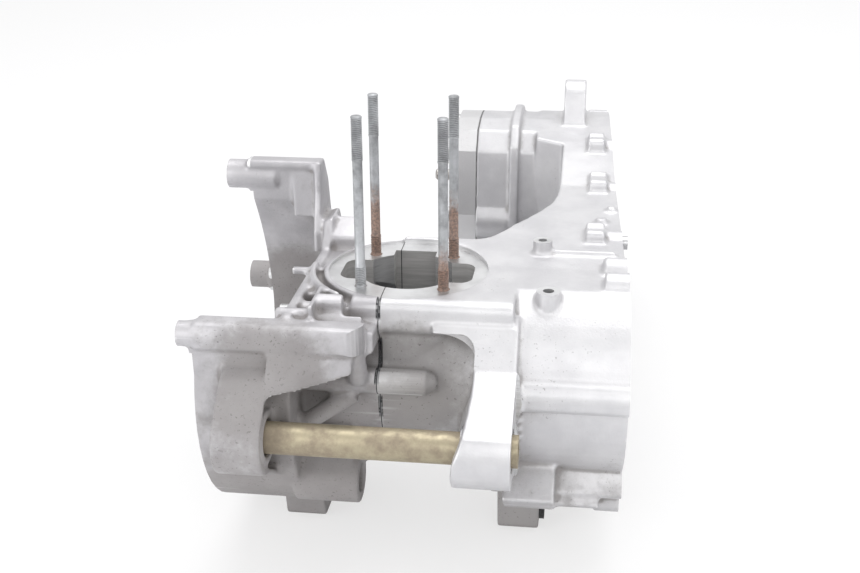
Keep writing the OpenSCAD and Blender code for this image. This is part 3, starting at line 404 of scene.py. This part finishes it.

# %% [markdown]
# One finish for each material slot of the record, two for the places that the cutters leave, and a paler
# gasket for the final drive. The right half is the dirtier casting, and its painted shade reaches higher up.
# Each zone of painted shade and dirt is a centre, a reach in metres and a weight.

# %% The finishes of this crankcase
finish = {
    "cast_left": cast_metal(
        "cast_left", (0.66, 0.655, 0.665), (0.56, 0.555, 0.57), 0.46, 0.40,
        [((0.003, -0.048, 0.014), 0.050, 1.0), ((0.02, -0.040, -0.030), 0.060, 0.6),
         ((0.06, 0.0, -0.08), 0.06, 0.5)],
    ),
    "cast_right": cast_metal(
        "cast_right", (0.60, 0.59, 0.605), (0.45, 0.44, 0.455), 0.50, 0.64,
        [((-0.05, -0.05, -0.06), 0.075, 0.5), ((-0.06, -0.09, 0.025), 0.045, 0.8),
         ((-0.03, -0.05, 0.0), 0.04, 0.3), ((-0.09, 0.09, 0.01), 0.04, 0.8)],
        bump=0.5, low_from=(0.075, -0.07),
    ),
    "cast_cover": cast_metal(
        "cast_cover", (0.62, 0.61, 0.62), (0.5, 0.49, 0.5), 0.46, 0.42, [((0.0, 0.26, -0.02), 0.05, 0.4)],
    ),
    "machined": turned_metal("machined", (0.74, 0.74, 0.745), 0.30, 900.0, 0.22, 0.85, axis=2),
    "pocket": turned_metal("pocket", (0.50, 0.49, 0.48), 0.5, 700.0, 0.35, 0.5, axis=2),
    "gasket": dull_stuff("gasket", (0.012, 0.012, 0.014), (0.04, 0.04, 0.045), 0.7),
    "dowel": turned_metal("dowel", (0.6, 0.6, 0.61), 0.28),
    "screw": turned_metal("screw", (0.5, 0.5, 0.5), 0.35, dirt_amount=0.4),
    "stud": rusty_steel("stud", 0.094, 0.080, 0.016, 0.022),
    "sleeve": turned_metal(
        "sleeve", (0.54, 0.475, 0.335), 0.34, 130.0, 0.90, 0.88, (0.20, 0.155, 0.12), axis=1,
    ),
    "pale_gasket": dull_stuff("pale_gasket", (0.20, 0.20, 0.20), (0.34, 0.34, 0.34), 0.8),
    "bush": turned_metal("bush", (0.35, 0.35, 0.36), 0.4, dirt_amount=0.5),
    "dark_bush": dull_stuff("dark_bush", (0.02, 0.02, 0.02), (0.06, 0.06, 0.06), 0.6),
    "pin": turned_metal("pin", (0.45, 0.43, 0.41), 0.35, dirt_amount=0.4),
    "bronze": turned_metal("bronze", (0.6, 0.42, 0.2), 0.4),
    "copper": turned_metal("copper", (0.72, 0.42, 0.28), 0.35),
    "seal": dull_stuff("seal", (0.02, 0.017, 0.016), (0.05, 0.045, 0.04), 0.45),
    "bearing_steel": turned_metal("bearing_steel", (0.66, 0.67, 0.68), 0.18, dirt_amount=0.15),
}
print("finishes:", len(finish))

# %% [markdown]
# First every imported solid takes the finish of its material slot, except the final-drive gasket, which
# shows paler in the picture. Pieces that need a finer shape are replaced further down.

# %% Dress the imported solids
slot_of = {part["node"]: part["material_slot"] for part in frame["record"]["subparts"]}


def dress(piece, *materials):
    piece.data.materials.clear()
    for material in materials:
        piece.data.materials.append(material)


for node_name, node in frame["nodes"].items():
    dress(node, finish["pale_gasket" if node_name == "gearbox_gasket" else slot_of[node_name]])
print("dressed:", len(slot_of))

# %% [markdown]
# The two halves are pressure die-castings. A casting has no sharp inside corner: the metal flows round it,
# so every wall meets the next in a small fillet, and only cut faces have crisp edges. Rounding thousands of
# edges one by one would fail where they meet. Here the halves are melted together as one skin of small
# cells instead, swollen and shrunk again to fill the corners, and then machined with real cutters, in the
# order in which the real part is made.

# %% Tools for the casting
def link(name, mesh):
    piece = bpy.data.objects.new(name, mesh)
    bpy.context.scene.collection.objects.link(piece)
    return piece


def mesh_from(name, bm):
    mesh = bpy.data.meshes.new(name)
    bm.to_mesh(mesh)
    bm.free()
    return mesh


def apply_step(piece, kind, **settings):
    step = piece.modifiers.new(kind, kind)
    for key, value in settings.items():
        setattr(step, key, value)
    graph = bpy.context.evaluated_depsgraph_get()
    mesh = bpy.data.meshes.new_from_object(piece.evaluated_get(graph))
    piece.modifiers.clear()
    before = piece.data
    piece.data = mesh
    bpy.data.meshes.remove(before)


def add_rod(bm, start, end, radius, sides=64, radius_end=None):
    """A closed cylinder or cone between two points, in metres."""
    start, end = Vector(start), Vector(end)
    turn = (end - start).to_track_quat("Z", "Y").to_matrix().to_4x4()
    bmesh.ops.create_cone(
        bm, cap_ends=True, segments=sides, radius1=radius,
        radius2=radius if radius_end is None else radius_end, depth=(end - start).length,
        matrix=Matrix.Translation((start + end) / 2) @ turn,
    )


def add_slab(bm, low, high):
    low, high = Vector(low), Vector(high)
    size = high - low
    centre = Matrix.Translation((low + high) / 2)
    bmesh.ops.create_cube(bm, size=1.0, matrix=centre @ Matrix.Diagonal((*size, 1.0)))


def add_prism(bm, outline, axis, low, high):
    """A closed prism over an outline of 2-D points; axis is the letter that the outline leaves out."""
    orders = {"y": lambda a, b, c: (a, c, b), "z": lambda a, b, c: (a, b, c)}
    order = orders[axis]
    ring = [bm.verts.new(order(a, b, low)) for a, b in outline]
    face = bm.faces.new(ring)
    made = bmesh.ops.extrude_face_region(bm, geom=[face])["geom"]
    step = Vector(order(0.0, 0.0, high - low))
    bmesh.ops.translate(bm, verts=[item for item in made if isinstance(item, bmesh.types.BMVert)], vec=step)
    sides = {face for vert in ring for face in vert.link_faces}
    sides |= {item for item in made if isinstance(item, bmesh.types.BMFace)}
    bmesh.ops.recalc_face_normals(bm, faces=list(sides))


def add_hull(bm, points):
    """The convex form over a few points, for webs and hoods that bulge."""
    verts = [bm.verts.new(point) for point in points]
    made = bmesh.ops.convex_hull(bm, input=verts)
    inner = [item for item in made["geom_interior"] if isinstance(item, bmesh.types.BMVert)]
    bmesh.ops.delete(bm, geom=inner, context="VERTS")


def corner_arc(centre, radius, start, end, steps=8):
    angles = [math.radians(start + (end - start) * i / steps) for i in range(steps + 1)]
    return [(centre[0] + radius * math.cos(a), centre[1] + radius * math.sin(a)) for a in angles]


def copy_nodes(bm, names):
    for node_name in names:
        bm.from_mesh(frame["nodes"][node_name].data)
    bmesh.ops.remove_doubles(bm, verts=bm.verts, dist=1e-6)


def cut(piece, cutter_bm, material, name="cutter"):
    """Takes the cutter's form off a piece; the new faces get the cutter's material, if it has one."""
    cutter = link(name, mesh_from(name, cutter_bm))
    if material:
        dress(cutter, material)
    apply_step(
        piece, "BOOLEAN", object=cutter, operation="DIFFERENCE", solver="MANIFOLD", material_mode="TRANSFER",
    )
    bpy.data.objects.remove(cutter)


# %% [markdown]
# The record says where the tapped holes, the stubs and the belt cover's joint are, so the cutters take
# their places from it. The crank line is the X axis, and the sizes of the seats are named here, in metres.

# %% Machined places, from the record
mounts = {mount["name"]: mount for mount in frame["record"]["mounts"]}


def mount_rod(bm, name, longer=0.0, wider=0.0):
    """A rod in a mount's hole; longer is added at its open end."""
    mount = mounts[name]
    axis = Vector(mount["axis"]).normalized()
    half = mount["dims"]["length_mm"] * MM / 2
    centre = Vector(mount["pos_m"])
    radius = mount["dims"]["r_mm"] * MM + wider
    add_rod(bm, centre - axis * half, centre + axis * (half + longer), radius, 32)


def mount_end(name):
    mount = mounts[name]
    axis = Vector(mount["axis"]).normalized()
    return Vector(mount["pos_m"]) + axis * mount["dims"]["length_mm"] * MM / 2, axis


screw_holes = [name for name, mount in mounts.items() if mount["kind"] == "threaded_hole"]
SPLIT_X, HALF_GASKET = PARTING_X, 0.00025
WEB_R, WEB_HALF = 0.0435, 0.022
BEARING_R, BEARING_X = 0.0235, 0.036
SEAL_R, SEAL_X = 0.0175, 0.043
CRANK_HOLE_R = 0.016
DECK_Z, LAND_R, MOUTH_R, MOUTH_FOOT = 0.054, 0.0445, 0.027, 0.028
STUD_X, STUD_Y, STUD_HOLE_R, STUD_DEPTH = 0.0225, 0.025, 0.00355, 0.015
STUD_PLACES = [(side_x * STUD_X, side_y * STUD_Y) for side_x in (-1, 1) for side_y in (-1, 1)]
JOINT = mounts["belt_cover_face"]
FAN_RIM_X = -0.103
LUG_FACE_X = 0.065
LUG_BACK_Y = -0.066
BOSS_TOPS = [("cowl_screw_1", 0.0055), ("cowl_screw_2", 0.0065)]
STUB_TIPS = ["fan_cover_screw_1", "fan_cover_screw_2", "fan_cover_screw_3"]
STOCK = 0.002
print("tapped holes:", len(screw_holes), "studs:", len(STUD_PLACES))

# %% [markdown]
# The wax model is both halves and their gasket in one. The crank line, the cylinder seat and the tapped
# holes are plugged, and the faces that are milled have 2 mm of stock on them.

# %% Wax model: halves, gasket and plugs
wax = bmesh.new()
copy_nodes(wax, ["left_case", "right_case", "centre_gasket"])


def lengthen(bm, point, normal, by, keep=lambda centre: True):
    """Machined faces get stock on them, which a cutter takes off again later."""
    point, normal = Vector(point), Vector(normal).normalized()
    faces = [
        face for face in bm.faces
        if face.normal.dot(normal) > 0.999
        and abs((face.calc_center_median() - point).dot(normal)) < 0.00005
        and keep(face.calc_center_median())
    ]
    region = bmesh.ops.extrude_face_region(bm, geom=faces)["geom"]
    verts = [item for item in region if isinstance(item, bmesh.types.BMVert)]
    bmesh.ops.translate(bm, verts=verts, vec=normal * by)
    bmesh.ops.delete(bm, geom=faces, context="FACES_ONLY")
    return len(faces)


print("belt rim faces:", lengthen(wax, JOINT["pos_m"], JOINT["axis"], STOCK))
print("fan rim faces:", lengthen(wax, (FAN_RIM_X, 0, 0), (-1, 0, 0), STOCK))
print("lug faces:", lengthen(wax, (LUG_FACE_X, 0, 0), (1, 0, 0), STOCK, lambda c: c.y < LUG_BACK_Y))
for name, _ in BOSS_TOPS:
    top, axis = mount_end(name)
    print(name, "faces:", lengthen(wax, top, axis, STOCK, lambda c: (c - top).length < 0.01))
for name in STUB_TIPS:
    tip, axis = mount_end(name)
    print(name, "faces:", lengthen(wax, tip, axis, STOCK, lambda c: (c - tip).length < 0.012))

for name in screw_holes:
    mount_rod(wax, name, wider=0.0004)
add_rod(wax, (-WEB_HALF, 0, 0), (WEB_HALF, 0, 0), WEB_R + 0.001, 96)
add_rod(wax, (-SEAL_X + 0.0005, 0, 0), (SEAL_X - 0.0005, 0, 0), BEARING_R + 0.001, 96)
add_rod(wax, (0, 0, 0.02), (0, 0, 0.0553), LAND_R + 0.001, 128)

# %% [markdown]
# A few forms show in the picture only as soft swellings: the hood over the cable side, two small pillars,
# the round end of the front boss, a pad on the air wall and the barrel on the final drive. They go in as
# plain rods and a hull, and the skin then melts them into the walls.

# %% Wax forms: the webs and swellings that the metal flows through
HOOD_EDGE = [(-0.063, -0.0910, 0.0150), (-0.041, -0.0835, 0.0186), (-0.019, -0.0750, 0.0235)]
HOOD_TOP = [(-0.019, -0.0730, 0.0370), (-0.041, -0.0765, 0.0370), (-0.063, -0.0770, 0.0350)]
HOOD_WALL = Vector((0.0, 0.0040, 0.0030))
add_hull(wax, [Vector(p) + side for p in HOOD_EDGE + HOOD_TOP for side in (Vector(), HOOD_WALL)])
add_rod(wax, (-0.0195, -0.0700, 0.044), (-0.0185, -0.0590, 0.014), 0.0055, 32)
add_rod(wax, (-0.022, -0.0545, 0.004), (-0.050, -0.0590, -0.014), 0.0050, 32)
add_rod(wax, (0.014, -0.0528, 0.0112), (0.0215, -0.0500, 0.0110), 0.0069, 32, 0.004)
add_slab(wax, (-0.078, 0.0565, 0.064), (-0.0605, 0.0610, 0.0965))
GEAR_JOINT_X, GEAR_BARREL_END = 0.01825, 0.0400
GEAR_BARREL_Y, GEAR_BARREL_Z, GEAR_BARREL_R = 0.2140, 0.0145, 0.0150
add_rod(
    wax, (GEAR_JOINT_X, GEAR_BARREL_Y, GEAR_BARREL_Z), (GEAR_BARREL_END, GEAR_BARREL_Y, GEAR_BARREL_Z),
    GEAR_BARREL_R, 64,
)
print("wax faces:", len(wax.faces))

# %% [markdown]
# Swelling the skin fills every inside corner, and shrinking it by the same amount leaves a fillet there.
# Small cells keep the detail.

# %% One skin with fillets
cast = link("cast", mesh_from("cast", wax))
VOXEL = 0.0008
FILLET = 0.0013
apply_step(cast, "REMESH", mode="VOXEL", voxel_size=VOXEL)
apply_step(cast, "DISPLACE", strength=FILLET, mid_level=0.0)
apply_step(cast, "REMESH", mode="VOXEL", voxel_size=VOXEL)
apply_step(cast, "DISPLACE", strength=-FILLET, mid_level=0.0)
apply_step(cast, "REMESH", mode="VOXEL", voxel_size=VOXEL)
apply_step(cast, "SMOOTH", factor=0.5, iterations=4)
SKIN_TRIANGLES = 310000
triangles = sum(len(face.vertices) - 2 for face in cast.data.polygons)
apply_step(cast, "DECIMATE", ratio=min(1.0, SKIN_TRIANGLES / triangles))
dress(cast, finish["cast_left"])
print("cast skin faces:", len(cast.data.polygons))

# %% [markdown]
# The crank line is bored in one go, as on the real part: seal seats, bearing seats and chamber are one
# lathe profile. It is written as pairs of X and radius and spun round the crank line.

# %% Crank bores
crank = bmesh.new()
PROFILE = [
    (-0.09, 0.0), (-0.09, CRANK_HOLE_R), (-SEAL_X, CRANK_HOLE_R), (-SEAL_X, SEAL_R),
    (-BEARING_X, SEAL_R), (-BEARING_X, BEARING_R), (-WEB_HALF, BEARING_R), (-WEB_HALF, WEB_R),
    (WEB_HALF, WEB_R), (WEB_HALF, BEARING_R), (BEARING_X, BEARING_R), (BEARING_X, SEAL_R),
    (SEAL_X, SEAL_R), (SEAL_X, CRANK_HOLE_R), (0.09, CRANK_HOLE_R), (0.09, 0.0),
]
corners = [crank.verts.new((x, 0.0, r)) for x, r in PROFILE]
edges = [crank.edges.new(pair) for pair in zip(corners, corners[1:])]
bmesh.ops.spin(
    crank, geom=corners + edges, cent=(0, 0, 0), axis=(1, 0, 0), angle=math.tau, steps=96, use_merge=True,
)
bmesh.ops.remove_doubles(crank, verts=crank.verts, dist=1e-6)
bmesh.ops.recalc_face_normals(crank, faces=crank.faces)
cut(cast, crank, finish["machined"])
print("after crank bores:", len(cast.data.polygons))

# %% [markdown]
# Two corners are rounded in the cast skin first: beside the hanger lug and at the end of the fan flange.
# Then the flat faces are milled, which takes the stock off again.

# %% Rounded corners and milled faces
flare = bmesh.new()
FLARE = [(0.015, 0.041), *corner_arc((0.035, 0.033), 0.008, 90, 0), (0.043, 0.020), (0.015, 0.020)]
add_prism(flare, FLARE, "y", -0.110, -0.0504)
cut(cast, flare, cast.data.materials[0], "flare_cutter")
flange_corner = bmesh.new()
FLANGE_END = [
    (-0.010, -0.082), (-0.025, -0.082), *corner_arc((-0.025, -0.0665), 0.0115, 270, 360), (-0.010, -0.0665),
]
add_prism(flange_corner, FLANGE_END, "z", 0.0300, 0.0520)
cut(cast, flange_corner, cast.data.materials[0], "flange_corner_cutter")
faces = bmesh.new()
joint_normal = Vector(JOINT["axis"]).normalized()
joint_turn = joint_normal.to_track_quat("X", "Z").to_matrix().to_4x4()
slab = bmesh.ops.create_cube(faces, size=1.0)["verts"]
slab_size = Matrix.Diagonal((0.04, 0.6, 0.4, 1.0))
slab_place = Matrix.Translation(Vector(JOINT["pos_m"]) + joint_normal * 0.02)
bmesh.ops.transform(faces, verts=slab, matrix=slab_place @ joint_turn @ slab_size)
cut(cast, faces, finish["machined"], "belt_rim_cutter")
faces = bmesh.new()
add_slab(faces, (LUG_FACE_X, -0.112, -0.030), (LUG_FACE_X + 0.004, -0.0664, 0.0345))
CUTTER_REACH = 0.006
for name, radius in BOSS_TOPS:
    top, axis = mount_end(name)
    add_rod(faces, top, top + axis * CUTTER_REACH, radius + 0.002, 32)
for name in STUB_TIPS:
    tip, axis = mount_end(name)
    add_rod(faces, tip, tip + axis * CUTTER_REACH, 0.012, 32)
cut(cast, faces, finish["machined"], "face_cutters")
print("after milled faces:", len(cast.data.polygons))

# %% [markdown]
# The fan rim is milled by a slab with a gap round each of the three stubs, which stand out past the rim.

# %% Fan rim
rim_tool = link("rim_tool", bpy.data.meshes.new("rim_tool"))
faces = bmesh.new()
add_slab(faces, (FAN_RIM_X - 0.0045, -0.12, -0.12), (FAN_RIM_X, 0.12, 0.12))
faces.to_mesh(rim_tool.data)
faces.free()
dress(rim_tool, finish["machined"])
keep = bmesh.new()
for name in STUB_TIPS:
    tip, axis = mount_end(name)
    add_rod(keep, tip, tip - axis * 0.04, 0.0105, 48)
cut(rim_tool, keep, None, "stub_keeper")
rim_cut = bmesh.new()
rim_cut.from_mesh(rim_tool.data)
bpy.data.objects.remove(rim_tool)
cut(cast, rim_cut, finish["machined"], "fan_rim_cutter")
print("after fan rim:", len(cast.data.polygons))

# %% [markdown]
# The cylinder seat crosses the parting line: land, mouth, transfer pockets, inlet and stud holes are all
# cut in the joined halves, so that they meet without a step.

# %% Cylinder seat and tapped holes
seat = bmesh.new()
add_rod(seat, (0, 0, DECK_Z), (0, 0, 0.12), LAND_R, 128)
cut(cast, seat, finish["machined"])
seat = bmesh.new()
add_rod(seat, (0, 0, MOUTH_FOOT), (0, 0, 0.12), MOUTH_R, 96)
cut(cast, seat, finish["machined"])
POCKET_LEFT, POCKET_RIGHT, POCKET_R = 0.029, -0.0295, 0.0075
POCKET_OUTLINE = [
    *corner_arc((POCKET_LEFT, POCKET_R), POCKET_R, 0, 75, 5),
    *corner_arc((POCKET_RIGHT, POCKET_R), POCKET_R, 105, 180, 5),
    *corner_arc((POCKET_RIGHT, -POCKET_R), POCKET_R, 180, 255, 5),
    *corner_arc((POCKET_LEFT, -POCKET_R), POCKET_R, 285, 360, 5),
]
pockets = bmesh.new()
add_prism(pockets, POCKET_OUTLINE, "z", MOUTH_FOOT, 0.088)
cut(cast, pockets, finish["pocket"])
inlet = bmesh.new()
add_slab(inlet, (-0.012, 0.010, MOUTH_FOOT - 0.010), (0.012, 0.0325, 0.075))
cut(cast, inlet, finish["pocket"])
seat = bmesh.new()
for x, y in STUD_PLACES:
    add_rod(seat, (x, y, DECK_Z - STUD_DEPTH), (x, y, 0.1), STUD_HOLE_R, 24)
for name in screw_holes:
    mount_rod(seat, name, longer=0.003)
cut(cast, seat, finish["machined"])
print("after bores:", len(cast.data.polygons))

# %% [markdown]
# Last the one skin is parted at the gasket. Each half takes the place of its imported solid.

# %% Part the halves
for side, name in ((1, "left_case_skin"), (-1, "right_case_skin")):
    half = link(name, cast.data.copy())
    cutter = bmesh.new()
    edge_x = SPLIT_X + side * HALF_GASKET
    low_x, high_x = (-0.3, edge_x) if side > 0 else (edge_x, 0.3)
    add_slab(cutter, (low_x, -0.3, -0.3), (high_x, 0.5, 0.3))
    cut(half, cutter, finish["machined"])
    half.data.shade_smooth()
    half.data.set_sharp_from_angle(angle=math.radians(35))
    half.data.materials[0] = finish["cast_left" if side > 0 else "cast_right"]
    node_name = "left_case" if side > 0 else "right_case"
    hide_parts(node_name)
    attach(half, "case")
    print(name, "faces", len(half.data.polygons), [m.name for m in half.data.materials])
bpy.data.objects.remove(cast)

# %% [markdown]
# A stud has a rolled thread at both ends. The thread is real shape here: the radius follows the height and
# the angle together, so the crest winds up the rod in one helix, a turn for each pitch.

# %% Studs with rolled threads
PITCH = 0.001
THREAD_DEPTH = 0.00055
THREAD_R, SHANK_R = 0.0030, 0.00265
THREAD_SIDES = 24
RINGS_PER_TURN = 6
FADE_RINGS = 5


def stud_levels():
    """Height, radius and thread depth of each ring of points, from foot to tip."""
    levels = [(0.0392, THREAD_R, 0.0), (0.0400, 0.0035, 0.0), (0.0538, 0.0035, 0.0), (DECK_Z, THREAD_R, 0.0)]
    for start, stop in ((0.0545, 0.0655), (0.1245, 0.1472)):
        count = round((stop - start) / PITCH * RINGS_PER_TURN)
        for index in range(count + 1):
            fade = min(1.0, index / FADE_RINGS, (count - index) / FADE_RINGS)
            levels.append((start + (stop - start) * index / count, THREAD_R, THREAD_DEPTH * fade))
        if stop < 0.1:
            levels += [(0.0662, SHANK_R, 0.0), (0.1238, SHANK_R, 0.0)]
    return levels + [(0.1474, THREAD_R, 0.0), (0.1480, 0.0024, 0.0)]


def add_stud(bm, x, y):
    rings = []
    for z, radius, depth in stud_levels():
        ring = []
        for side in range(THREAD_SIDES):
            turn = (z / PITCH - side / THREAD_SIDES) % 1.0
            groove_shade = min(1.0, max(0.0, 1.6 * abs(2.0 * turn - 1.0) - 0.3))
            reach = radius - depth * groove_shade
            angle = math.tau * side / THREAD_SIDES
            ring.append(bm.verts.new((x + reach * math.cos(angle), y + reach * math.sin(angle), z)))
        rings.append(ring)
    for lower, upper in zip(rings, rings[1:]):
        for side in range(THREAD_SIDES):
            after = (side + 1) % THREAD_SIDES
            bm.faces.new((lower[side], lower[after], upper[after], upper[side]))
    bm.faces.new(list(reversed(rings[0])))
    bm.faces.new(rings[-1])


studs = bmesh.new()
for x, y in STUD_PLACES:
    add_stud(studs, x, y)
stud_piece = link("threaded_studs", mesh_from("threaded_studs", studs))
stud_piece.data.shade_smooth()
stud_piece.data.set_sharp_from_angle(angle=math.radians(50))
dress(stud_piece, finish["stud"])
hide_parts("cylinder_studs")
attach(stud_piece, "case")

# %% [markdown]
# The camera looks from the front, a little from above and slightly from the belt side, as the photograph
# does. Its place came from fitting a camera to the round seat, the studs and the feet.

# %% Camera
AZIMUTH, ELEVATION, ROLL = math.radians(7.57), math.radians(21.76), math.radians(-0.40)
AIM = Vector((14.86, -21.94, 54.0)) * MM
DISTANCE = 0.677
LENS = 52.49

level = math.cos(ELEVATION)
forward = Vector((-math.sin(AZIMUTH) * level, math.cos(AZIMUTH) * level, -math.sin(ELEVATION)))
right = Vector((math.cos(AZIMUTH), math.sin(AZIMUTH), 0.0))
up = right.cross(forward)
level_right, level_up = right.copy(), up.copy()
right = level_right * math.cos(ROLL) + level_up * math.sin(ROLL)
up = -level_right * math.sin(ROLL) + level_up * math.cos(ROLL)
lens = bpy.data.cameras.new("camera")
lens.lens = LENS
lens.sensor_width = 36.0
lens.clip_start = 0.01
camera = bpy.data.objects.new("camera", lens)
bpy.context.scene.collection.objects.link(camera)
camera_turn = Matrix((right, up, -forward)).transposed().to_4x4()
camera.matrix_world = Matrix.Translation(AIM - forward * DISTANCE) @ camera_turn
bpy.context.scene.camera = camera
print("camera at", [round(v, 3) for v in camera.matrix_world.translation])

# %% [markdown]
# The case stands on its two stand lugs and on the head of the drain plug at the rear, so the floor is a plane
# through these three. A soft shadow under it shows that it stands. The paper glows for the camera only, so
# that it reads as white without more light on the part.

# %% Floor
FLOOR_GAP = 0.0006
FOOT_EDGE = (0.010, -0.101)
PLUG_EDGE = (0.250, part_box("drain_plug")[0].z)
floor_angle = math.atan2(PLUG_EDGE[1] - FOOT_EDGE[1], PLUG_EDGE[0] - FOOT_EDGE[0])
floor_mesh = bpy.data.meshes.new("floor")
bm = bmesh.new()
bmesh.ops.create_grid(bm, x_segments=1, y_segments=1, size=4.0)
floor_place = Matrix.Translation((0.0, FOOT_EDGE[0], FOOT_EDGE[1] - FLOOR_GAP))
bmesh.ops.transform(bm, verts=bm.verts, matrix=floor_place @ Matrix.Rotation(floor_angle, 4, "X"))
bm.to_mesh(floor_mesh)
bm.free()
floor = bpy.data.objects.new("floor", floor_mesh)
bpy.context.scene.collection.objects.link(floor)
paper = bpy.data.materials.new("paper")
paper.use_nodes = True
paper_shader = paper.node_tree.nodes["Principled BSDF"]
paper_shader.inputs["Base Color"].default_value = (0.93, 0.93, 0.935, 1.0)
paper_shader.inputs["Roughness"].default_value = 0.75
paper_shader.inputs["Specular IOR Level"].default_value = 0.2
paper_nodes = paper.node_tree
glow = add(paper_nodes, "ShaderNodeEmission")
glow.inputs["Color"].default_value = (1.0, 0.995, 0.99, 1.0)
paper_path = add(paper_nodes, "ShaderNodeLightPath")
paper_mix = add(paper_nodes, "ShaderNodeMixShader")
GLOW_SHARE = 0.62
glow_share = math_node(paper_nodes, "MULTIPLY", paper_path.outputs["Is Camera Ray"], GLOW_SHARE)
wire(paper_nodes, glow_share, paper_mix.inputs[0])
wire(paper_nodes, paper_shader.outputs[0], paper_mix.inputs[1])
wire(paper_nodes, glow.outputs[0], paper_mix.inputs[2])
wire(paper_nodes, paper_mix.outputs[0], paper_nodes.nodes["Material Output"].inputs[0])
dress(floor, paper)
print("floor tilt:", round(math.degrees(floor_angle), 2), "degrees")

# %% [markdown]
# The light is that of a white room: an even sky, which the camera and glossy metal see as white, and four
# large panels. The panels stay weak, so that the pale metal keeps its tone.

# %% Room and lamps
world = bpy.data.worlds.new("studio")
bpy.context.scene.world = world
world.use_nodes = True
sky = world.node_tree
backdrop = sky.nodes["Background"]
backdrop.inputs["Color"].default_value = (0.90, 0.91, 0.93, 1.0)
backdrop.inputs["Strength"].default_value = 0.66
seen = add(sky, "ShaderNodeBackground")
seen.inputs["Color"].default_value = (1.0, 1.0, 1.0, 1.0)
seen.inputs["Strength"].default_value = 1.0
path = add(sky, "ShaderNodeLightPath")
mirrored = math_node(sky, "MULTIPLY", path.outputs["Is Glossy Ray"], 0.8)
visible = math_node(sky, "MAXIMUM", path.outputs["Is Camera Ray"], mirrored)
blend = add(sky, "ShaderNodeMixShader")
wire(sky, visible, blend.inputs[0])
wire(sky, backdrop.outputs[0], blend.inputs[1])
wire(sky, seen.outputs[0], blend.inputs[2])
wire(sky, blend.outputs[0], sky.nodes["World Output"].inputs[0])


def soft_lamp(name, place_at, aim_at, size, power):
    lamp = bpy.data.lights.new(name, "AREA")
    lamp.shape = "RECTANGLE"
    lamp.size, lamp.size_y = size
    lamp.energy = power
    holder = bpy.data.objects.new(name, lamp)
    holder.location = place_at
    holder.rotation_euler = (Vector(aim_at) - Vector(place_at)).to_track_quat("-Z", "Y").to_euler()
    bpy.context.scene.collection.objects.link(holder)


soft_lamp("top_panel", (0.1, 0.30, 1.3), (0.0, 0.05, 0.0), (1.4, 1.2), 12.0)
soft_lamp("front_panel", (0.35, -1.5, 0.75), (0.03, 0.05, 0.0), (1.5, 0.8), 5.5)
soft_lamp("right_panel", (1.1, -0.35, 0.6), (0.05, 0.0, 0.0), (0.9, 0.9), 3.0)
soft_lamp("left_panel", (-1.1, -0.9, 0.35), (0.0, 0.1, 0.0), (0.9, 0.8), 7.0)
bpy.context.scene.view_settings.view_transform = "Standard"
print("lamps:", len(bpy.data.lights))
